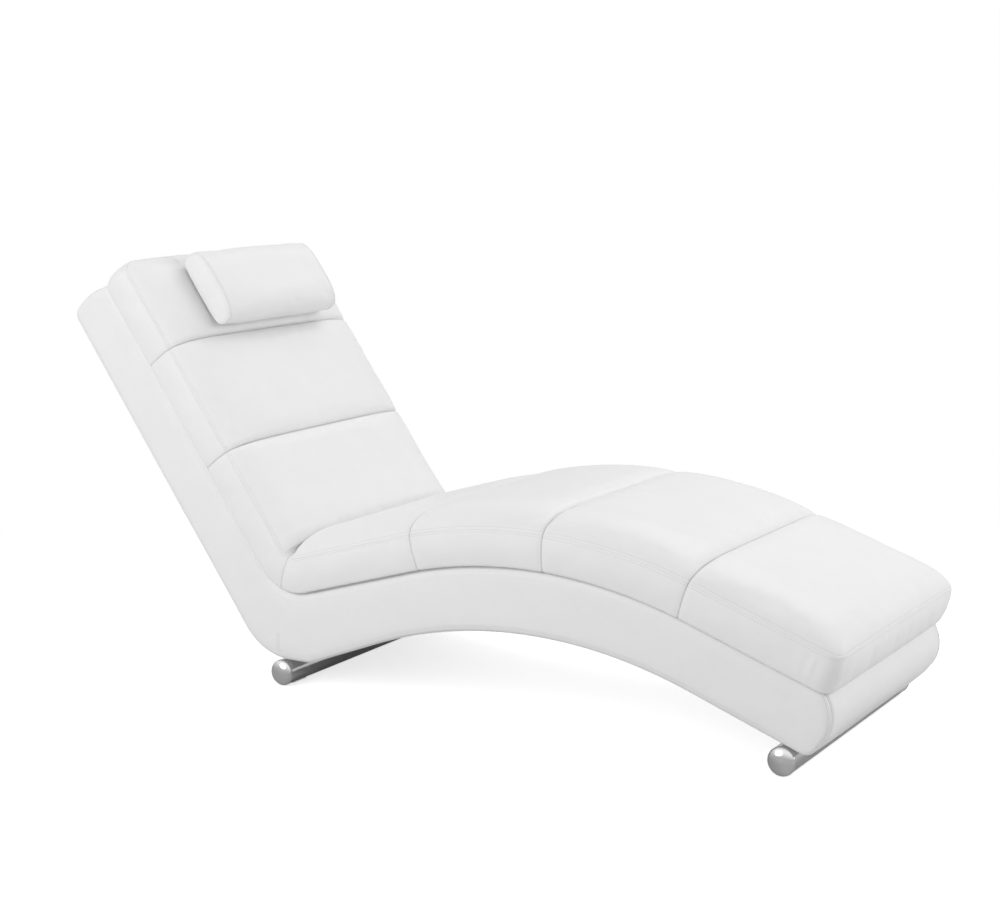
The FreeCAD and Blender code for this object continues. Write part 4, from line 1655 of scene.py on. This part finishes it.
@dataclass
class Headrest:
    """The neck pillow on its flap, and the counterweight behind the back."""

    finishes: Finishes
    form: PillowShape = PillowShape()
    weight: PouchShape = PouchShape()
    flap_half: float = 163 * MM
    flap_end: float = 165 * MM
    flap_over: float = 52 * MM
    flap_turns: tuple[Point, ...] = ((-0.012, 0.0885), (-0.026, 0.040))
    flap_rounds: tuple[float, ...] = (0, 0.060, 0.025, 0.025, 0.021, 0)
    flap_past_travel: float = 55 * MM
    corner_drop: float = 2.5 * MM
    flap_columns: int = 40
    flap_cell: float = 6 * MM
    flap_stitch: float = 5 * MM
    flap_wander: float = 0.11
    tail_past_travel: float = 45 * MM
    tail_cell: float = 8 * MM
    tail_wander: float = 9
    leather: float = 1.5 * MM
    gap: float = 0.4 * MM
    lift: float = 1.25  # how far the flap is lifted off what it lies on, in gaps
    probe: float = 40 * MM
    probe_step: float = 4 * MM
    evenings: int = 3
    travel: float = 110 * MM
    cell: float = 7 * MM
    pouch_cuts: tuple[int, int, int] = (11, 46, 5)
    headroom: float = 2 * MM
    pillow_ease: float = 4 * MM
    pouch_ease: float = 2 * MM
    pillow_bead: float = 1.5 * MM
    pillow_fill: float = 0.8
    pouch_fill: float = 0.9
    inner_stitch: Pair = (0.045, 1 * MM)  # how far in on the end panel, and how far off the welt
    outer_stitch: float = 4.5 * MM
    rings: dict[Side, list[int]] = field(default_factory=dict)
    pillow: Optional[Object] = None
    pouch: Optional[Object] = None

    def build(self, padding: Padding) -> None:
        """Cut the pillow and the pouch, and hand them to the padding.

        Args:
            padding: What fills them.
        """
        form = self.form
        bm = divided_box(tuple(round(v / self.cell) for v in (form.tall, form.length, form.thick)))
        cubes = [v.co.copy() for v in bm.verts]
        self.pillow = finished(shaped(bm, form.point), "neck_pillow", self.finishes.leather)
        held = {i for i, c in enumerate(cubes) if at_low(c.z)}
        for side in Side:
            limit = 1.0 if side is Side.LEFT else 0.0
            ring = [i for i, c in enumerate(cubes)
                    if abs(c.y - limit) < TINY and (at_end(c.x) or at_end(c.z))]
            self.rings[side] = sorted(
                ring, key=lambda i: math.atan2(cubes[i].z - 0.5, cubes[i].x - 0.5))
            held.update(ring)
        bm = divided_box(self.pouch_cuts)
        cubes = [v.co.copy() for v in bm.verts]
        low, face = self.tail_places()[0], self.tail_height() + self.leather
        shaped(bm, lambda co: self.weight.point(co, low, self.flap_half, face))
        self.pouch = finished(bm, "weight_pouch", self.finishes.leather)
        padding.add(self.pillow, held, self.pillow_ease)
        foot = {i for i, c in enumerate(cubes) if at_low(c.z)}
        padding.add(self.pouch, foot, self.pouch_ease)

    def tail_places(self) -> Pair:
        """The tail's lower and upper end along the body's outline."""
        top = BODY.corners[Corner.BACK_HEAD].start - self.travel - self.tail_past_travel
        return top - self.weight.tail, top

    def tail_height(self) -> float:
        """How high the tail's inner face lies over the back."""
        return self.leather + 2 * self.gap

    def wrap(self, under: Sequence[Object]) -> None:
        """Lay the filled pillow on the back and dress the rest.

        Args:
            under: The pieces that the flap lies on.
        """
        ceiling = self.form.seat + self.form.thick + self.headroom
        for vert in self.pillow.data.vertices:
            s, y, h = vert.co
            vert.co = DECK.place(s, y, clamp(h, self.form.seat, ceiling))
        subdivided(self.pillow)
        settle(self.pillow, "pillow", "leather", "pillow_cover", "pillow_foam", "pillow_ends")
        self.sew_pillow()
        self.build_flap(under)
        self.build_counterweight()

    def sew_pillow(self) -> None:
        """Sew the folded seam round both ends of the pillow, with stitches beside it."""
        surface, sewing = surface_of(self.pillow), Sewing(self.finishes)
        for side, ring in self.rings.items():
            line = [self.pillow.data.vertices[i].co.copy() for i in ring]
            line.append(line[0])
            add_bead(sewing.beads, line, surface, self.pillow_bead, closed=True)
            middle = sum(line[:-1], Vector()) / (len(line) - 1)
            share, off = self.inner_stitch
            inner = [p.lerp(middle, share) - Vector((0, side.value * off, 0)) for p in line]
            outer = [p - Vector((0, side.value * self.outer_stitch, 0)) for p in line]
            for row in (inner, outer):
                sewing.row(row, surface)
        sewing.finish("pillow", "pillow_welt", "pillow_stitches")

    def flap_line(self) -> SideLine:
        """Lay a rough line for the flap.

        Returns:
            The line of its inner face, over the head end and down the back.
        """
        back_top = BODY.corners[Corner.BACK_HEAD].start
        outward = STANCE.back - math.pi / 2
        corner = moved(STANCE.back_head(), outward, self.gap)
        height = self.form.seat - self.leather - self.gap
        corners = [
            DECK.at(self.flap_end, height), DECK.at(self.flap_over, height),
            *(DECK.at(*turn) for turn in self.flap_turns),
            moved(corner, STANCE.back, -self.corner_drop),
            BODY.at(back_top - self.travel - self.flap_past_travel, self.gap),
        ]
        return SideLine(corners, self.flap_rounds)

    def taut_line(self, line: SideLine, y: float, trees: Sequence[BVHTree],
                  count: int) -> list[Vector]:
        """The line that a pulled sheet takes over what lies under it.

        Args:
            line: A rough line near it, with its outer side on the right.
            y: Where across the width it runs.
            trees: The surfaces under it.
            count: How many equal parts it is given.

        Returns:
            Its points, lifted by the gap.
        """
        kept: list[Vector] = []
        for s in line.around(0.0, line.length, self.probe_step):
            start, aim = line.place(s, y, -self.probe), line.place(s, y, self.probe)
            casts = (tree.ray_cast(start, aim - start, 2 * self.probe) for tree in trees)
            hits = [hit for hit in casts if hit[0] is not None]
            if not hits:
                continue
            point = min(hits, key=lambda hit: hit[3])[0]
            while len(kept) > 1:
                first, second = kept[-1] - kept[-2], point - kept[-1]
                if first.x * second.z - first.z * second.x > 0:
                    break
                kept.pop()
            kept.append(point)
        length = sum((b - a).length for a, b in zip(kept, kept[1:]))
        inner = [spot for spot, _ in along(kept, length / (count - 1))]
        spots = [kept[0], *inner, kept[-1]][:count + 1]
        for _ in range(self.evenings):
            inner = [(a + 2 * b + c) / 4 for a, b, c in zip(spots, spots[1:], spots[2:])]
            spots = [spots[0], *inner, spots[-1]]
        lifted = []
        for i, spot in enumerate(spots):
            heading = (spots[min(i + 1, count)] - spots[max(i - 1, 0)]).normalized()
            lifted.append(spot + Vector((heading.z, 0, -heading.x)) * self.lift * self.gap)
        return lifted

    def build_flap(self, under: Sequence[Object]) -> None:
        """The fixed stretch of the flap, pulled over the head end.

        Args:
            under: The pieces that it lies on.
        """
        line, trees = self.flap_line(), [surface_of(piece) for piece in under]
        last = round(line.length / self.flap_cell)
        columns = []
        for j in range(self.flap_columns + 1):
            share = 2 * j / self.flap_columns - 1
            points = self.taut_line(line, share * self.flap_half, trees, last)
            for i, point in enumerate(points):
                point.y += cut_edge(i * self.flap_wander, share)
            columns.append(points)
        bm = shaped(divided_sheet(last, self.flap_columns),
                    lambda co: columns[round(co.y * self.flap_columns)][round(co.x * last)].copy())
        turned_towards(bm, lambda co: line.outward(0.0, -0.02))
        flap = finished(bm, "pillow_flap", self.finishes.leather, outward=False)
        settle(thickened(flap, "leather", self.leather, 1.0), "lounger", "leather", "flap")
        surface, sewing = surface_of(flap), Sewing(self.finishes)
        for side, edge in ((Side.RIGHT, columns[0]), (Side.LEFT, columns[-1])):
            inset = Vector((0, side.value * self.flap_stitch, 0))
            sewing.row([p - inset for p in edge], surface)
        sewing.finish("lounger", None, "flap_stitches")

    def build_counterweight(self) -> None:
        """The tail behind the back and the pouch that holds the bar."""
        bottom, top = self.tail_places()
        bm = laid_sheet(
            BODY, BODY.around(bottom, top, self.tail_cell), self.flap_columns,
            lambda s, share: (share * self.flap_half + cut_edge(s * self.tail_wander, share),
                              self.tail_height()))
        tail = finished(bm, "weight_tail", self.finishes.leather, outward=False)
        thickened(tail, "leather", self.leather, 1.0)
        settle(tail, "counterweight", "leather", "counterweight_tail")
        for vert in self.pouch.data.vertices:
            vert.co = BODY.place(*vert.co)
        subdivided(self.pouch)
        settle(self.pouch, "counterweight", "leather", "counterweight_pouch")
        surface, sewing, weight = surface_of(self.pouch), Sewing(self.finishes), self.weight
        shares = [2 * k / weight.seam_parts - 1 for k in range(weight.seam_parts + 1)]
        for place in (bottom + weight.hem, bottom + weight.tall - weight.hem):
            sewing.row([BODY.place(place, self.flap_half * share * weight.seam_share, weight.seam)
                        for share in shares], surface)
        sewing.finish("counterweight", None, "pouch_stitches")
        LOG.info("counterweight behind the back")


# The feet


@dataclass
class Feet:
    """Two chrome cross tubes with low domed caps."""

    finishes: Finishes
    half: float = 262 * MM
    radius: float = 25 * MM
    wall: float = 2 * MM
    lip: float = 4 * MM
    proud: float = 0.5 * MM
    dome: float = 12 * MM
    dome_steps: int = 12
    plug: float = 14 * MM
    cut: float = 0.4 * MM
    play: float = 0.3 * MM
    crease_angle: float = math.radians(40)
    turns: int = 72

    def spun(self, profile: Sequence[Pair], closed: bool) -> BMesh:
        """Spin a profile of radii and places across the width into a solid.

        Args:
            profile: Radius and place across the width of each point.
            closed: Whether the profile is a loop.

        Returns:
            The solid as a bmesh, round the Y axis.
        """
        bm = bmesh.new()
        verts = [bm.verts.new((r, y, 0.0)) for r, y in profile]
        pairs = list(zip(verts, verts[1:])) + ([(verts[-1], verts[0])] if closed else [])
        edges = [bm.edges.new(pair) for pair in pairs]
        bmesh.ops.spin(bm, geom=verts + edges, cent=(0, 0, 0), axis=(0, 1, 0),
                       angle=2 * math.pi, steps=self.turns, use_merge=True)
        bmesh.ops.remove_doubles(bm, verts=bm.verts, dist=TINY)
        return bm

    def build(self) -> None:
        """Make both tubes and the four caps."""
        bore, rim, cut = self.radius - self.wall, self.radius - self.cut, self.cut
        wall = [(bore, -self.half), (rim, -self.half), (self.radius, -self.half + cut),
                (self.radius, self.half - cut), (rim, self.half), (bore, self.half)]
        face, edge, plug = self.half + self.lip, self.radius + self.proud, bore - self.play
        angles = (math.pi / 2 * i / self.dome_steps for i in range(self.dome_steps))
        arc = [(edge * math.cos(a), face + self.dome * math.sin(a)) for a in angles]
        cap = [(0.0, self.half - self.plug), (plug, self.half - self.plug), (plug, self.half),
               (edge - cut, self.half), (edge, self.half + cut), *arc, (0.0, face + self.dome)]
        caps = bmesh.new()
        for foot, axis in (("rear", STANCE.rear_axis), ("front", STANCE.front_axis)):
            tube = self.spun(wall, closed=True)
            bmesh.ops.translate(tube, verts=tube.verts, vec=(axis[0], 0, axis[1]))
            self.set_down(tube, foot + "_chrome_tube", foot + "_tube", "chrome")
            for side in Side:
                one = self.spun([(r, side.value * y) for r, y in cap], closed=False)
                bmesh.ops.translate(one, verts=one.verts, vec=(axis[0], 0, axis[1]))
                pour(one, caps)
        self.set_down(caps, "chrome_caps", "tube_end_caps", "cap")

    def set_down(self, bm: BMesh, name: str, node: str, slot: str) -> None:
        """Make a piece of metal with its creases kept sharp.

        Args:
            bm: Its mesh.
            name: Its name.
            node: The frame solid that it stands for.
            slot: Its finish slot.
        """
        piece = finished(bm, name, self.finishes.by_slot[slot])
        piece.data.set_sharp_from_angle(angle=self.crease_angle)
        settle(piece, "lounger", slot, node)
        LOG.info("foot piece %s", name)


@dataclass
class Carcass:
    """The frame's own solids inside and under the leather, each with its finish."""

    finishes: Finishes
    lining_half: float = 268 * MM
    lining_ends: Pair = (-0.001, 0.006)
    lining_cell: float = 20 * MM
    lining_columns: int = 40
    lining_height: float = 2 * MM
    lining_thick: float = 1.4 * MM
    corner_inset: float = 14 * MM
    corner_reach: float = 26 * MM

    def dress(self) -> None:
        """Give every shown frame solid the finish of its slot."""
        slots = {row["node"]: row["material_slot"] for row in frame["record"]["subparts"]}
        for name, piece in frame["nodes"].items():
            material = self.finishes.by_slot.get(slots[name])
            if material is None:
                continue
            piece.data.materials.clear()
            piece.data.materials.append(material)
            LOG.info("frame piece %s in %s", name, material.name)

    def lay_lining(self) -> None:
        """The woven lining under the mat, with its corners cut round."""
        start, end = self.lining_ends[0], DECK.length + self.lining_ends[1]
        places = DECK.around(start, end, self.lining_cell)

        def section(s: float, share: float) -> Pair:
            """Lay a point of the lining.

            Args:
                s: Its place along the deck.
                share: Its share of the width, from -1 to 1.

            Returns:
                Its place across the width and its height over the deck.
            """
            rise = rounded(min(s - start, end - s) / self.corner_reach)
            y = share * (self.lining_half - self.corner_inset * (1 - rise))
            return y, self.lining_height - LINING_DROP * past_strips(y)

        bm = laid_sheet(DECK, places, self.lining_columns, section)
        piece = finished(bm, "mat_underside", self.finishes.by_slot["lining"], outward=False)
        thickened(piece, "cloth", self.lining_thick, 1.0)
        settle(piece, "lounger", "lining", "mat_lining")


@dataclass(frozen=True)
class Lamp:
    """A large soft lamp that points at the middle of the lounger."""

    name: str
    place: Triple
    size: float
    power: float
    aim: Triple = (0.0, 0.0, 0.35)

    def build(self) -> None:
        """Hang the lamp."""
        data = bpy.data.lights.new(self.name, "AREA")
        data.shape, data.size, data.energy = "DISK", self.size, self.power
        lamp = bpy.data.objects.new(self.name, data)
        lamp.location = self.place
        beam = Vector(self.aim) - lamp.location
        lamp.rotation_euler = beam.to_track_quat("-Z", "Y").to_euler()
        bpy.context.scene.collection.objects.link(lamp)


@dataclass
class Studio:
    """White floor and backdrop, soft lamps and the camera.

    The camera's focal length and centre are in pixels of the photograph.
    """

    azimuth: float = 31.4274
    elevation: float = 9.8457
    roll: float = -0.726
    picture: Pair = (1000, 909)
    focal: float = 1840.26
    centre: Point = (543.75, 453.637)
    place: Triple = (1.9178, -2.9597, 1.0566)
    sensor: float = 36.0
    sight: float = 60.0
    ambient: float = 0.55
    room: Pair = (0.50, 1.15)  # what the chrome mirrors, level and from above
    room_height: float = 0.6
    floor_half: float = 14.0
    floor_tone: float = 0.72
    floor_mirrored: float = -0.12
    floor_lift: float = 0.71
    floor_fade: Pair = (1.3, 2.0)
    lamps: tuple[Lamp, ...] = (
        Lamp("key", (3.5, 1.5, 1.7), 2.2, 46.0),
        Lamp("top", (0.3, 2.0, 3.3), 2.6, 29.5),
        Lamp("fill", (-1.0, -3.0, 1.7), 2.4, 43.0),
    )

    def build(self) -> None:
        """Set up the whole studio."""
        self.build_camera()
        self.build_floor()
        self.build_world()
        for lamp in self.lamps:
            lamp.build()
        bpy.context.scene.view_settings.view_transform = "Standard"

    def build_camera(self) -> None:
        """The camera at the photograph's angle."""
        a, e, r = (math.radians(v) for v in (self.azimuth, self.elevation, self.roll))
        back = Vector((math.sin(a) * math.cos(e), -math.cos(a) * math.cos(e), math.sin(e)))
        right = (-back).cross(Vector((0, 0, 1))).normalized()
        up = right.cross(-back)
        side = right * math.cos(r) + up * math.sin(r)
        top = up * math.cos(r) - right * math.sin(r)
        width, height = self.picture
        data = bpy.data.cameras.new("camera")
        data.sensor_width = self.sensor
        data.lens = self.focal / width * self.sensor
        data.shift_x = (width / 2 - self.centre[0]) / width
        data.shift_y = (self.centre[1] - height / 2) / width
        data.clip_end = self.sight
        camera = bpy.data.objects.new("camera", data)
        turn = Matrix((side, top, back)).transposed().to_4x4()
        camera.matrix_world = Matrix.Translation(self.place) @ turn
        bpy.context.scene.collection.objects.link(camera)
        bpy.context.scene.camera = camera

    def build_floor(self) -> None:
        """A pale floor that keeps the shadow and runs out to plain white for the camera."""
        material, shader, place = start_material("studio_floor")
        path = shader.node("ShaderNodeLightPath")
        camera = path.outputs["Is Camera Ray"]
        lift = shader.node("ShaderNodeEmission", {
            "Color": grey(1.0), "Strength": shader.maths("MULTIPLY", camera, self.floor_lift)})
        tone = shader.maths("MULTIPLY_ADD", path.outputs["Is Glossy Ray"], self.floor_mirrored,
                            self.floor_tone)
        flat = shader.node("ShaderNodeBsdfDiffuse", {"Color": tone})
        near = shader.node("ShaderNodeAddShader", {0: flat.outputs[0], 1: lift.outputs[0]})
        away = shader.node("ShaderNodeVectorMath", {0: place}, operation="LENGTH").outputs["Value"]
        far = shader.node("ShaderNodeMapRange", {
            "Value": away, "From Min": self.floor_fade[0], "From Max": self.floor_fade[1]},
            interpolation_type="SMOOTHSTEP").outputs[0]
        white = shader.node("ShaderNodeEmission", {"Color": grey(1.0), "Strength": 1.0})
        both = shader.node("ShaderNodeMixShader", {
            0: shader.maths("MULTIPLY", far, camera), 1: near.outputs[0], 2: white.outputs[0]})
        shader.node("ShaderNodeOutputMaterial", {"Surface": both.outputs[0]})
        bm = bmesh.new()
        bmesh.ops.create_grid(bm, x_segments=4, y_segments=4, size=self.floor_half)
        finished(bm, "studio_floor", material, outward=False)

    def build_world(self) -> None:
        """White surroundings for the camera, and a room for the chrome, dim near the ground."""
        world = bpy.data.worlds.new("studio")
        world.use_nodes = True
        bpy.context.scene.world = world
        shader = Shader(world.node_tree)
        path = shader.node("ShaderNodeLightPath").outputs
        seen = shader.maths("MAXIMUM", path["Is Camera Ray"], path["Is Transmission Ray"])
        incoming = shader.node("ShaderNodeNewGeometry").outputs["Incoming"]
        towards = shader.node("ShaderNodeSeparateXYZ", {0: incoming})
        room = shader.node("ShaderNodeMapRange", {
            "Value": shader.maths("MULTIPLY", towards.outputs["Z"], -1.0),
            "From Min": 0.0, "From Max": self.room_height,
            "To Min": self.room[0], "To Max": self.room[1]}).outputs[0]
        brighter = shader.maths("SUBTRACT", room, self.ambient)
        mirrored = shader.maths("MULTIPLY", path["Is Glossy Ray"], brighter)
        unseen = shader.maths("ADD", mirrored, self.ambient)
        strength = shader.node("ShaderNodeMix", {0: seen, 2: unseen, 3: 1.0}, data_type="FLOAT")
        surface = shader.node("ShaderNodeBackground", {
            "Color": grey(1.0), "Strength": strength.outputs[0]})
        shader.node("ShaderNodeOutputWorld", {"Surface": surface.outputs[0]})


def main() -> None:
    """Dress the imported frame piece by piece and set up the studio."""
    logging.basicConfig(level=logging.INFO, format="%(message)s")
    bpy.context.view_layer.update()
    finishes = Finishes()
    padding = Padding()
    mat = Mat(finishes)
    headrest = Headrest(finishes)
    mat.build(padding)
    headrest.build(padding)
    if padding.waiting:
        padding.fill()
    mat.wrap()
    mat.stitch()
    cover = BodyCover(finishes)
    cover.build()
    headrest.wrap([mat.panels["head"], cover.pieces["back"], cover.pieces["head"]])
    Feet(finishes).build()
    carcass = Carcass(finishes)
    carcass.dress()
    carcass.lay_lining()
    Studio().build()


if __name__ == "__main__":
    main()
